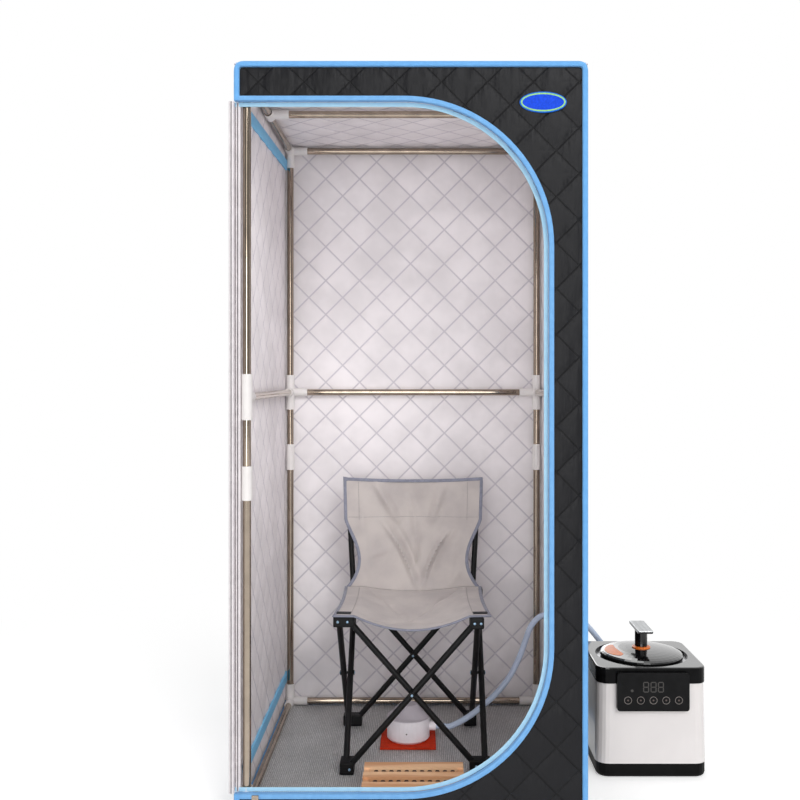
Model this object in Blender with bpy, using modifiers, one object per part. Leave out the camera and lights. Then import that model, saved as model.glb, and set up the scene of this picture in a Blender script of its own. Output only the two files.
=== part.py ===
"""Portable steam sauna: a quilted cabin on a plug-together tube frame, with a folding chair, a steam pot,
its hose, a steam diffuser and a wooden foot roller. Metres, +Z up, origin under the middle of the cabin."""

import math

import bmesh
import bpy
from mathutils import Vector

# Driving dimensions of the cabin
CABIN_WIDTH = 0.80
CABIN_DEPTH = 0.80
CABIN_HEIGHT = 1.72
PANEL = 0.012
FLOOR_MAT = 0.006
GAP = 0.0003

# Doorway in the front panel, open to the left edge
DOOR_STILE = 0.086
DOOR_HEADER = 0.088
DOOR_SILL = 0.061
DOOR_CORNER = 0.330
DOOR_CLEARANCE = 0.003
DOOR_AXIS_OFFSET = 0.002
FLAP_STANDOFF = 0.0005
SLIDER_SIZE = (0.016, 0.005, 0.012)
SLIDER_ROUND = 0.0012
SLIDER_FROM_EDGE = 0.040
PULL_LENGTH = 0.024

# Tube frame and its plastic connectors
POLE_RADIUS = 0.0095
SOCKET_RADIUS = 0.0125
SOCKET_DEPTH = 0.035
ARM_LENGTH = 0.052
TEE_HEIGHT = 0.960
TEE_LENGTH = 0.105
COUPLER_HEIGHT = 0.763
COUPLER_LENGTH = 0.078
ROOF_BAR_Y = -0.043
POLE_SIDES = 14

# Folding chair: four crossed pairs of tubes round a square
CHAIR_SIDE = 0.332
CHAIR_CENTRE = (0.0, 0.0425)
CHAIR_TUBE_RADIUS = 0.008
CHAIR_PIVOT_INSET = 0.006
CHAIR_OUTER_PLANE = 0.020
CHAIR_INNER_PLANE = 0.002
CHAIR_FOOT_PIVOT = 0.016
CHAIR_RISE = 0.364
CHAIR_TUBE_END = 0.007
FOOT_BLOCK = 0.014
FOOT_REACH = 0.0135
FOOT_SLOT = 0.0006
SLOT_END = 0.001
SLOT_REACH = 0.080
KNUCKLE_ROUND = 0.003
RIVET_RADIUS = 0.004
RIVET_HEAD_RADIUS = 0.007
RIVET_HEAD = 0.002
POST_RADIUS = 0.008
POST_LENGTH = 0.3125
POST_SEAT = 0.003
POST_OFFSET = 0.006
POST_LEAN_OUT = 0.020
POST_LEAN_BACK = 0.050
SLING = 0.003
SEAT_SAG = 0.055
SEAT_EDGE_SHARE = 0.63
SAG_SPAN = 0.70
BACK_BELLY = 0.030
BACK_WAIST = 0.030
BACK_WAIST_SPAN = 0.60

# Steam pot
POT_CENTRE = (0.604, -0.027)
POT_WIDTH = 0.272
POT_DEPTH = 0.250
POT_CORNER = 0.030
POT_BASE_HEIGHT = 0.035
POT_BASE_INSET = 0.001
POT_BASE_ROUND = 0.009
POT_BODY_HEIGHT = 0.200
POT_FLARE = 0.0035
POT_WALL = 0.004
POT_RIM_HEIGHT = 0.040
POT_RIM_OVERHANG = 0.002
POT_RIM_ROUND = 0.004
POT_RIM_LAND = 0.008
TANK_WALL = 0.002
TANK_DEPTH = 0.180
TANK_FLANGE = 0.015
TANK_FLANGE_THICKNESS = 0.003
LID_RECESS = 0.012
LID_GAP = 0.0115
LID_RISE = 0.002
LID_DRAFT = 0.001
LID_DOME = 0.016
HANDLE_WIDTH = 0.040
HANDLE_LENGTH = 0.110
HANDLE_HEIGHT = 0.056
HANDLE_BAR = 0.009
HANDLE_ROUND = 0.003
HANDLE_POST_RADIUS = 0.0163
CONTROL_WIDTH = 0.181
CONTROL_HEIGHT = 0.095
CONTROL_THICKNESS = 0.012
CONTROL_CORNER = 0.007
CONTROL_ROUND = 0.002
CONTROL_TOP = 0.0105
OUTLET_OFFSET = -0.029
OUTLET_Z = 0.205
OUTLET_LENGTH = 0.025
OUTLET_RADIUS = 0.011
OUTLET_COLLAR = 0.005
OUTLET_COLLAR_RADIUS = 0.0165
INLET_SIZE = (0.028, 0.012, 0.020)
INLET_OFFSET = 0.056
INLET_Z = 0.075

# Steam hose, from the pot's outlet through the right wall to the diffuser
HOSE_RADIUS = 0.008
HOSE_STEPS = 64
PORT_Y = 0.115
PORT_Z = 0.345
PORT_RADIUS = 0.0135
PORT_FLANGE_RADIUS = 0.024
PORT_FLANGE = 0.004
HOSE_ROUTE = [
    (0.5750, 0.1233, 0.2050), (0.5750, 0.1393, 0.2050), (0.5750, 0.1530, 0.2050), (0.5650, 0.1760, 0.2180),
    (0.5400, 0.1850, 0.2450), (0.5080, 0.1770, 0.2850), (0.4760, 0.1550, 0.3190), (0.4450, 0.1270, 0.3400),
    (0.4180, 0.1152, 0.3449), (0.3970, 0.1150, 0.3450), (0.3760, 0.1150, 0.3449), (0.3500, 0.1140, 0.3360),
    (0.3280, 0.1110, 0.3110), (0.3120, 0.1060, 0.2720), (0.2930, 0.1000, 0.2240), (0.2650, 0.0930, 0.1740),
    (0.2300, 0.0880, 0.1330), (0.1900, 0.0850, 0.0980), (0.1480, 0.0835, 0.0670), (0.1040, 0.0832, 0.0450),
    (0.0840, 0.0838, 0.0450), (0.0640, 0.0845, 0.0450),
]

# Diffuser on its pad
DIFFUSER_CENTRE = (-0.012, 0.087)
DIFFUSER_RADIUS = 0.0585
DIFFUSER_HEIGHT = 0.060
DIFFUSER_WALL = 0.003
DIFFUSER_CONE = 0.034
DIFFUSER_CONE_TOP = 0.024
DIFFUSER_ROUND = 0.006
DIFFUSER_NECK_RADIUS = 0.0115
PAD_SIDE = 0.150
PAD_THICKNESS = 0.005
PAD_ROUND = 0.001

# Wooden foot roller
ROLLER_X = 0.005
ROLLER_FROM_FRONT = 0.126
ROLLER_WIDTH = 0.240
ROLLER_DEPTH = 0.150
ROLLER_HEIGHT = 0.050
ROLLER_END = 0.014
ROLLER_END_DROP = 0.004
ROLLER_END_PLAY = 0.004
ROLLER_SLAT = 0.032
ROLLER_SLAT_THICKNESS = 0.014
SLAT_OVERHANG = 0.001
SLAT_LAP = 0.0005
ROLLER_SPINDLE = 0.006
ROLLER_TEETH_RADIUS = 0.0125
ROLLER_PITCH = 0.018
ROLLER_SINK = 0.002
TOOTH_FLANK = 0.2
TOOTH_CREST = 0.4

# Levels and centre lines that follow from the sizes above
HALF_W = CABIN_WIDTH / 2
HALF_D = CABIN_DEPTH / 2
DOOR_RIGHT = HALF_W - DOOR_STILE
DOOR_TOP = CABIN_HEIGHT - DOOR_HEADER
WALL_LOW = FLOOR_MAT + GAP
WALL_HIGH = CABIN_HEIGHT - PANEL - GAP
POLE_X = HALF_W - PANEL - GAP - SOCKET_RADIUS
POLE_Y = HALF_D - PANEL - GAP - SOCKET_RADIUS
RAIL_HIGH = WALL_HIGH - GAP - SOCKET_RADIUS
RAIL_LOW = WALL_LOW + GAP + SOCKET_RADIUS
POT_RIM_LOW = POT_BASE_HEIGHT + POT_BODY_HEIGHT + 2 * GAP
POT_TOP = POT_RIM_LOW + POT_RIM_HEIGHT
FLANGE_RADIUS = POT_DEPTH / 2 + POT_RIM_OVERHANG - POT_RIM_LAND
TANK_RADIUS = FLANGE_RADIUS - TANK_FLANGE
LID_RADIUS = FLANGE_RADIUS - LID_GAP
FLANGE_LOW = POT_TOP - LID_RECESS
POT_FRONT = POT_CENTRE[1] - POT_DEPTH / 2
POT_BACK = POT_CENTRE[1] + POT_DEPTH / 2
PAD_TOP = WALL_LOW + PAD_THICKNESS
DIFFUSER_LOW = PAD_TOP + GAP
ROLLER_Y = ROLLER_FROM_FRONT - HALF_D


def clear_scene():
    for old in list(bpy.data.objects):
        bpy.data.objects.remove(old)


def new_collection(name):
    group = bpy.data.collections.new(name)
    bpy.context.scene.collection.children.link(group)
    return group


def material(name, colour, roughness, metallic=0.0):
    made = bpy.data.materials.new(name)
    made.use_nodes = True
    shader = made.node_tree.nodes["Principled BSDF"]
    shader.inputs["Base Color"].default_value = (*colour, 1.0)
    shader.inputs["Roughness"].default_value = roughness
    shader.inputs["Metallic"].default_value = metallic
    return made


def place(obj, finish=None):
    """A part goes in the object's collection; a shape with no finish is a cutter or a guide."""
    if finish is None:
        CUTTERS.objects.link(obj)
        obj.hide_render = True
        obj.display_type = "WIRE"
    else:
        PARTS.objects.link(obj)
        obj.data.materials.append(finish)
    return obj


def mesh_object(name, bm, finish, smooth=False):
    mesh = bpy.data.meshes.new(name)
    bm.to_mesh(mesh)
    bm.free()
    if smooth:
        mesh.shade_smooth()
        mesh.set_sharp_from_angle(angle=math.radians(35))
    return place(bpy.data.objects.new(name, mesh), finish)


def block(name, low, high, finish=None, round_edges=0.0):
    bm = bmesh.new()
    bmesh.ops.create_cube(bm, size=1.0)
    low, high = Vector(low), Vector(high)
    bmesh.ops.scale(bm, vec=high - low, verts=bm.verts)
    bmesh.ops.translate(bm, vec=(low + high) / 2, verts=bm.verts)
    made = mesh_object(name, bm, finish)
    return soften(made, round_edges) if round_edges else made


def soften(target, radius):
    """Rounds every sharp edge of a solid."""
    bevel = target.modifiers.new("rounded", "BEVEL")
    bevel.width = radius
    bevel.segments = 2
    return target


def rod(name, start, end, radius, finish=None, sides=POLE_SIDES):
    """A straight round bar between two points."""
    start, end = Vector(start), Vector(end)
    line = end - start
    bm = bmesh.new()
    bmesh.ops.create_cone(bm, cap_ends=True, segments=sides, radius1=radius, radius2=radius,
                          depth=line.length)
    made = mesh_object(name, bm, finish, smooth=True)
    made.matrix_world = line.to_track_quat("Z", "Y").to_matrix().to_4x4()
    made.location = (start + end) / 2
    return made


def outline_plate(name, points, thickness, finish=None):
    """A flat outline in its own XY plane, extruded to a thickness about that plane."""
    curve = bpy.data.curves.new(name, "CURVE")
    curve.dimensions = "2D"
    curve.fill_mode = "BOTH"
    curve.extrude = thickness / 2
    spline = curve.splines.new("POLY")
    spline.points.add(len(points) - 1)
    for point, (x, y) in zip(spline.points, points):
        point.co = (x, y, 0.0, 1.0)
    spline.use_cyclic_u = True
    return place(bpy.data.objects.new(name, curve), finish)


def as_mesh(curve_object):
    """The curve object as a closed mesh at the same place, ready for Booleans."""
    bpy.context.view_layer.update()
    evaluated = curve_object.evaluated_get(bpy.context.evaluated_depsgraph_get())
    mesh = bpy.data.meshes.new_from_object(evaluated)
    bm = bmesh.new()
    bm.from_mesh(mesh)
    bmesh.ops.remove_doubles(bm, verts=bm.verts, dist=0.00001)
    bmesh.ops.recalc_face_normals(bm, faces=bm.faces)
    bm.to_mesh(mesh)
    bm.free()
    made = bpy.data.objects.new(curve_object.name + "_mesh", mesh)
    made.matrix_world = curve_object.matrix_world
    for group in curve_object.users_collection:
        group.objects.link(made)
    made.hide_render = curve_object.hide_render
    made.display_type = curve_object.display_type
    name = curve_object.name
    bpy.data.objects.remove(curve_object)
    made.name = name
    return made


def turned(name, profile, centre, finish=None, sides=32):
    """A closed profile of (radius, height) points, top to bottom on its outer side, turned about Z."""
    bm = bmesh.new()
    ring = [bm.verts.new((radius, 0.0, height)) for radius, height in profile]
    closed = min(radius for radius, height in profile) > 0
    pairs = list(zip(ring, ring[1:])) + ([(ring[-1], ring[0])] if closed else [])
    for first, second in pairs:
        bm.edges.new((first, second))
    made = mesh_object(name, bm, finish)
    made.location = centre
    screw = made.modifiers.new("turned", "SCREW")
    screw.steps = screw.render_steps = sides
    screw.use_merge_vertices = True
    screw.merge_threshold = 0.00001
    screw.use_smooth_shade = True
    return made


def combine(target, other, operation):
    """Adds to the target, or cuts from it, another closed shape."""
    step = target.modifiers.new(operation.lower(), "BOOLEAN")
    step.operation = operation
    step.object = other
    return target


def smooth_route(points, steps):
    """Evenly spread points on a smooth curve through the route's own points."""
    spots = [Vector(p) for p in points]
    ends = [spots[0] * 2 - spots[1], *spots, spots[-1] * 2 - spots[-2]]
    fine = []
    per_span = 12
    for p0, p1, p2, p3 in zip(ends, ends[1:], ends[2:], ends[3:]):
        for i in range(per_span):
            t = i / per_span
            fine.append(0.5 * (2 * p1 + (p2 - p0) * t + (2 * p0 - 5 * p1 + 4 * p2 - p3) * t * t
                               + (3 * p1 - p0 - 3 * p2 + p3) * t ** 3))
    fine.append(spots[-1])
    run = [0.0]
    for first, second in zip(fine, fine[1:]):
        run.append(run[-1] + (second - first).length)
    made = []
    j = 0
    for i in range(steps + 1):
        want = run[-1] * i / steps
        while j < len(run) - 2 and run[j + 1] < want:
            j += 1
        made.append(fine[j].lerp(fine[j + 1], (want - run[j]) / (run[j + 1] - run[j])))
    return made


def arc(centre, radius, start_deg, end_deg, steps):
    for i in range(steps + 1):
        angle = math.radians(start_deg + (end_deg - start_deg) * i / steps)
        yield centre[0] + radius * math.cos(angle), centre[1] + radius * math.sin(angle)


def doorway_outline(left, inset):
    """The doorway in X and Z, shrunk by an inset: straight at the left, round at the two right corners."""
    right = DOOR_RIGHT - inset
    top = DOOR_TOP - inset
    sill = DOOR_SILL + inset
    corner = DOOR_CORNER - inset
    points = [(left, sill)]
    points += arc((right - corner, sill + corner), corner, -90, 0, 14)
    points += arc((right - corner, top - corner), corner, 0, 90, 14)
    points.append((left, top))
    return points


def stand_up(plate, y):
    """Turns a plate drawn in XY so that it stands in XZ at a given Y."""
    plate.rotation_euler = (math.pi / 2, 0.0, 0.0)
    plate.location = (0.0, y, 0.0)
    return plate


def make_panels():
    side_y = HALF_D - PANEL - GAP
    block("floor_mat", (-HALF_W, -HALF_D, 0.0), (HALF_W, HALF_D, FLOOR_MAT), MAT_GREY)
    block("roof_panel", (-HALF_W, -HALF_D, CABIN_HEIGHT - PANEL), (HALF_W, HALF_D, CABIN_HEIGHT), QUILT)
    block("left_wall", (-HALF_W, -side_y, WALL_LOW), (-HALF_W + PANEL, side_y, WALL_HIGH), QUILT)
    block("back_wall", (-HALF_W, HALF_D - PANEL, WALL_LOW), (HALF_W, HALF_D, WALL_HIGH), QUILT)
    right = block("right_wall", (HALF_W - PANEL, -side_y, WALL_LOW), (HALF_W, side_y, WALL_HIGH), QUILT)
    reach = PANEL
    hole = rod("hose_hole", (HALF_W - PANEL - reach, PORT_Y, PORT_Z), (HALF_W + reach, PORT_Y, PORT_Z),
               PORT_RADIUS, sides=24)
    combine(right, hole, "DIFFERENCE")
    front = block("front_panel", (-HALF_W, -HALF_D, WALL_LOW), (HALF_W, -HALF_D + PANEL, WALL_HIGH), QUILT)
    doorway = outline_plate("doorway_cut", doorway_outline(-HALF_W - PANEL, 0.0), 3 * PANEL)
    combine(front, as_mesh(stand_up(doorway, -HALF_D + PANEL / 2)), "DIFFERENCE")


def make_door():
    """The door flap, folded back round the front left edge to lie along the outside of the left wall."""
    hinge_x = -HALF_W - FLAP_STANDOFF + DOOR_AXIS_OFFSET
    hinge_y = -HALF_D - DOOR_AXIS_OFFSET
    hinge = bpy.data.objects.new("door_hinge", None)
    PARTS.objects.link(hinge)
    hinge.location = (hinge_x, hinge_y, 0.0)
    hinge.rotation_euler = (0.0, 0.0, math.pi / 2)
    outline = doorway_outline(hinge_x + FLAP_STANDOFF, DOOR_CLEARANCE)
    flap = outline_plate("door_flap", [(x - hinge_x, z) for x, z in outline], PANEL, QUILT)
    flap.parent = hinge
    flap.rotation_euler = (math.pi / 2, 0.0, 0.0)
    flap.location = (0.0, DOOR_AXIS_OFFSET + PANEL / 2, 0.0)
    width, depth, height = SLIDER_SIZE
    x = -HALF_W + SLIDER_FROM_EDGE
    face = -HALF_D - GAP
    slider = block("zip_slider", (x, face - depth, DOOR_SILL - height), (x + width, face, DOOR_SILL), STEEL,
                   round_edges=SLIDER_ROUND)
    pull_top = DOOR_SILL - height / 2
    pull = block("zip_pull", (x + width / 4, face - depth, pull_top - PULL_LENGTH),
                 (x + 3 * width / 4, face - depth / 2, pull_top))
    combine(slider, pull, "UNION")


def socket(target, start, toward, length, bored=True):
    """A round socket arm on a connector, with a bore that takes a tube."""
    start, toward = Vector(start), Vector(toward).normalized()
    end = start + toward * length
    combine(target, rod("arm", start, end, SOCKET_RADIUS), "UNION")
    if bored:
        bore = rod("bore", end - toward * SOCKET_DEPTH, end + toward * GAP * 10, POLE_RADIUS + GAP)
        bores.append((target, bore))


def cut_bores():
    for target, bore in bores:
        combine(target, bore, "DIFFERENCE")
    bores.clear()


def corner_name(sx, sy):
    return ("front" if sy < 0 else "back") + "_" + ("left" if sx < 0 else "right")


def make_frame():
    bar_end_x = POLE_X - ARM_LENGTH + SOCKET_DEPTH - GAP
    bar_end_y = POLE_Y - ARM_LENGTH + SOCKET_DEPTH - GAP
    pole_top = RAIL_HIGH - ARM_LENGTH + SOCKET_DEPTH - GAP
    for sx in (-1, 1):
        for sy in (-1, 1):
            x, y = sx * POLE_X, sy * POLE_Y
            name = corner_name(sx, sy)
            pole = rod("upright_" + name, (x, y, WALL_LOW), (x, y, pole_top), POLE_RADIUS, STEEL)
            sleeves = ((COUPLER_HEIGHT, COUPLER_LENGTH), (TEE_HEIGHT, TEE_LENGTH))
            for height, length in sleeves:
                combine(pole, rod("sleeve", (x, y, height - length / 2), (x, y, height + length / 2),
                                  SOCKET_RADIUS), "UNION")
            foot = rod("sleeve", (x, y, WALL_LOW), (x, y, RAIL_LOW + ARM_LENGTH), SOCKET_RADIUS)
            combine(pole, foot, "UNION")
            socket(pole, (x, y, TEE_HEIGHT), (0, -sy, 0), ARM_LENGTH)
            socket(pole, (x, y, RAIL_LOW), (0, -sy, 0), ARM_LENGTH)
            if sy > 0:
                socket(pole, (x, y, TEE_HEIGHT), (-sx, 0, 0), ARM_LENGTH)
                socket(pole, (x, y, RAIL_LOW), (-sx, 0, 0), ARM_LENGTH)
            cut_bores()
            corner = rod("top_corner_" + name, (x, y, RAIL_HIGH + SOCKET_RADIUS),
                         (x, y, RAIL_HIGH - ARM_LENGTH), SOCKET_RADIUS, WHITE)
            bores.append((corner, rod("bore", (x, y, RAIL_HIGH - ARM_LENGTH - GAP * 10),
                                      (x, y, RAIL_HIGH - ARM_LENGTH + SOCKET_DEPTH), POLE_RADIUS + GAP)))
            socket(corner, (x, y, RAIL_HIGH), (-sx, 0, 0), ARM_LENGTH)
            socket(corner, (x, y, RAIL_HIGH), (0, -sy, 0), ARM_LENGTH)
            cut_bores()
    for level, height in (("top", RAIL_HIGH), ("mid", TEE_HEIGHT), ("bottom", RAIL_LOW)):
        for side, sx in (("left", -1), ("right", 1)):
            bar = rod(f"{level}_bar_{side}", (sx * POLE_X, -bar_end_y, height),
                      (sx * POLE_X, bar_end_y, height), POLE_RADIUS, STEEL)
            if level == "top":
                half = ARM_LENGTH / 2
                combine(bar, rod("sleeve", (sx * POLE_X, ROOF_BAR_Y - half, height),
                                 (sx * POLE_X, ROOF_BAR_Y + half, height), SOCKET_RADIUS), "UNION")
                socket(bar, (sx * POLE_X, ROOF_BAR_Y, height), (-sx, 0, 0), ARM_LENGTH)
                cut_bores()
        rod(f"{level}_bar_back", (-bar_end_x, POLE_Y, height), (bar_end_x, POLE_Y, height), POLE_RADIUS,
            STEEL)
    for name, y in (("front", -POLE_Y), ("middle", ROOF_BAR_Y)):
        rod(f"top_bar_{name}", (-bar_end_x, y, RAIL_HIGH), (bar_end_x, y, RAIL_HIGH), POLE_RADIUS, STEEL)


def chair_corner(k):
    """Corner k of the chair's square, with the directions along the side that starts there and out of it."""
    along = [Vector((1, 0, 0)), Vector((0, 1, 0)), Vector((-1, 0, 0)), Vector((0, -1, 0))][k % 4]
    out = Vector((along.y, -along.x, 0))
    half = CHAIR_SIDE / 2
    spot = Vector((*CHAIR_CENTRE, 0)) - along * half + out * half
    return spot, along, out


def post_base(side):
    """Where a back post stands, at floor level: just outside the square's rear corner."""
    reach = CHAIR_SIDE / 2 + POST_OFFSET
    return Vector((CHAIR_CENTRE[0] + side * reach, CHAIR_CENTRE[1] + reach, 0))


def rivet(outer, inner, crossing, out):
    """The headed pin that two crossed tubes turn on: fast in the outer tube, loose in the inner."""
    face = crossing + out * (CHAIR_OUTER_PLANE + CHAIR_TUBE_RADIUS)
    rear = crossing + out * (CHAIR_INNER_PLANE - CHAIR_TUBE_RADIUS - GAP)
    head = out * RIVET_HEAD
    combine(inner, rod("rivet_hole", face, rear - head, RIVET_RADIUS + GAP, sides=10), "DIFFERENCE")
    combine(outer, rod("rivet_pin", rear - head / 2, face + head / 2, RIVET_RADIUS, sides=10), "UNION")
    for start, end in ((face - head, face + head), (rear - head, rear)):
        combine(outer, rod("rivet_head", start, end, RIVET_HEAD_RADIUS, sides=10), "UNION")


def make_chair():
    floor = WALL_LOW + GAP
    low = floor + CHAIR_FOOT_PIVOT
    high = low + CHAIR_RISE
    up = Vector((0, 0, 1))
    names = ["front_left", "front_right", "back_right", "back_left"]
    sides = ["front", "right", "back", "left"]
    for k in range(4):
        spot, along, out = chair_corner(k)
        other = spot + along * CHAIR_SIDE
        pair = []
        for kind, plane, ends in (("outer", CHAIR_OUTER_PLANE, (spot, other)),
                                  ("inner", CHAIR_INNER_PLANE, (other, spot))):
            toward = (ends[1] - ends[0]).normalized()
            start = ends[0] + toward * CHAIR_PIVOT_INSET + out * plane + up * low
            end = ends[1] - toward * CHAIR_PIVOT_INSET + out * plane + up * high
            reach = (end - start).normalized() * CHAIR_TUBE_END
            pair.append(rod(f"chair_{sides[k]}_{kind}_tube", start - reach, end + reach, CHAIR_TUBE_RADIUS,
                            BLACK, sides=12))
        rivet(*pair, spot + along * CHAIR_SIDE / 2 + up * (low + high) / 2, out)
        before = chair_corner(k - 1)
        size = Vector((FOOT_REACH, FOOT_REACH, 0))
        for part, level, bottom, top in (("foot", low, floor, low + FOOT_BLOCK),
                                         ("joint", high, high - FOOT_BLOCK, high + FOOT_BLOCK)):
            first_plane = CHAIR_OUTER_PLANE if part == "foot" else CHAIR_INNER_PLANE
            second_plane = CHAIR_INNER_PLANE if part == "foot" else CHAIR_OUTER_PLANE
            first = spot + along * CHAIR_PIVOT_INSET + out * first_plane
            second = spot - before[1] * CHAIR_PIVOT_INSET + before[2] * second_plane
            lows = Vector([min(first[i], second[i]) - size[i] for i in range(3)])
            highs = Vector([max(first[i], second[i]) + size[i] for i in range(3)])
            lows.z, highs.z = bottom, top
            knuckle = block(f"chair_{part}_{names[k]}", lows, highs, RUBBER,
                            round_edges=KNUCKLE_ROUND)
            run = CHAIR_SIDE - 2 * CHAIR_PIVOT_INSET
            rise = CHAIR_RISE if part == "foot" else -CHAIR_RISE
            for pivot, line in ((first, along), (second, -before[1])):
                slope = (line * run + up * rise).normalized()
                at = pivot + up * level
                slot = rod("slot", at - slope * (CHAIR_TUBE_END + SLOT_END), at + slope * SLOT_REACH,
                           CHAIR_TUBE_RADIUS + FOOT_SLOT, sides=12)
                combine(knuckle, slot, "DIFFERENCE")
            if part == "joint" and k >= 2:
                side = -1 if names[k].endswith("left") else 1
                base = post_base(side) + up * (top - POST_SEAT)
                tip = base + Vector((side * POST_LEAN_OUT, POST_LEAN_BACK, POST_LENGTH))
                combine(knuckle, rod("post", base, tip, POST_RADIUS, sides=12), "UNION")


def sling(name, row_point, rows, columns):
    """A thin cloth panel: a grid of points, thickened."""
    bm = bmesh.new()
    grid = [[bm.verts.new(row_point(i / columns, j / rows)) for i in range(columns + 1)]
            for j in range(rows + 1)]
    for lower, upper in zip(grid, grid[1:]):
        for i in range(columns):
            bm.faces.new((lower[i], lower[i + 1], upper[i + 1], upper[i]))
    made = mesh_object(name, bm, CANVAS, smooth=True)
    thick = made.modifiers.new("cloth", "SOLIDIFY")
    thick.thickness = SLING
    thick.offset = 0.0
    return made


def make_slings():
    rest = WALL_LOW + GAP + CHAIR_FOOT_PIVOT + CHAIR_RISE + FOOT_BLOCK + GAP
    x0, y0 = CHAIR_CENTRE
    lap = CHAIR_SIDE / 2 + CHAIR_OUTER_PLANE
    half = lap + FOOT_REACH
    post = post_base(1)
    slant = math.hypot(1.0, POST_LEAN_BACK / POST_LENGTH)
    back_low = post.y - (POST_RADIUS + GAP + SLING / 2) * slant
    front = y0 - lap
    rear = back_low - SLING / 2 * slant - 2 * GAP
    rise = POST_LENGTH - POST_SEAT - GAP

    def slack(across):
        return max(0.0, 1 - (across / SAG_SPAN) ** 2)

    def seat(u, v):
        across = 2 * u - 1
        hang = slack(across) * (SEAT_EDGE_SHARE + (1 - SEAT_EDGE_SHARE) * math.sin(math.pi * v))
        return x0 + across * half, front + (rear - front) * v, rest + SLING / 2 - SEAT_SAG * hang

    def backrest(u, v):
        across = 2 * u - 1
        waist = BACK_WAIST * math.sin(math.pi * min(1.0, v / BACK_WAIST_SPAN)) ** 2
        belly = BACK_BELLY * slack(across) * math.sin(math.pi * v)
        wide = post.x - x0 + POST_RADIUS + POST_LEAN_OUT * v - waist
        hang = SEAT_SAG * SEAT_EDGE_SHARE * slack(across) * (1 - v) ** 2
        return x0 + across * wide, back_low + POST_LEAN_BACK * v + belly, rest + rise * v - hang

    sling("chair_seat", seat, 10, 14)
    sling("chair_back", backrest, 12, 14)


def rounded_outline(width, depth, corner):
    x, y = width / 2 - corner, depth / 2 - corner
    points = []
    for cx, cy, start in ((x, y, 0), (-x, y, 90), (-x, -y, 180), (x, -y, 270)):
        points += arc((cx, cy), corner, start, start + 90, 5)
    return points


def rounded_prism(name, width, depth, corner, low, high, finish=None, flare=0.0):
    """A rounded rectangle about the pot's centre line, from one level to another, wider below by a flare."""
    plate = outline_plate(name, rounded_outline(width, depth, corner), high - low, finish)
    plate.location = (*POT_CENTRE, (low + high) / 2)
    made = as_mesh(plate)
    for vertex in made.data.vertices:
        if vertex.co.z < 0:
            vertex.co.x *= 1 + 2 * flare / width
            vertex.co.y *= 1 + 2 * flare / depth
    return made


def round_rim(prism, side, radius):
    """Rounds the edge round a prism's top, at side 1, or its bottom, at side -1."""
    bm = bmesh.new()
    bm.from_mesh(prism.data)
    edges = [edge for edge in bm.edges if edge.calc_face_angle() > math.radians(60)
             and all(vert.co.z * side > 0 for vert in edge.verts)]
    bmesh.ops.bevel(bm, geom=edges, offset=radius, segments=3, profile=0.5, affect="EDGES")
    bm.to_mesh(prism.data)
    bm.free()
    return prism


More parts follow.
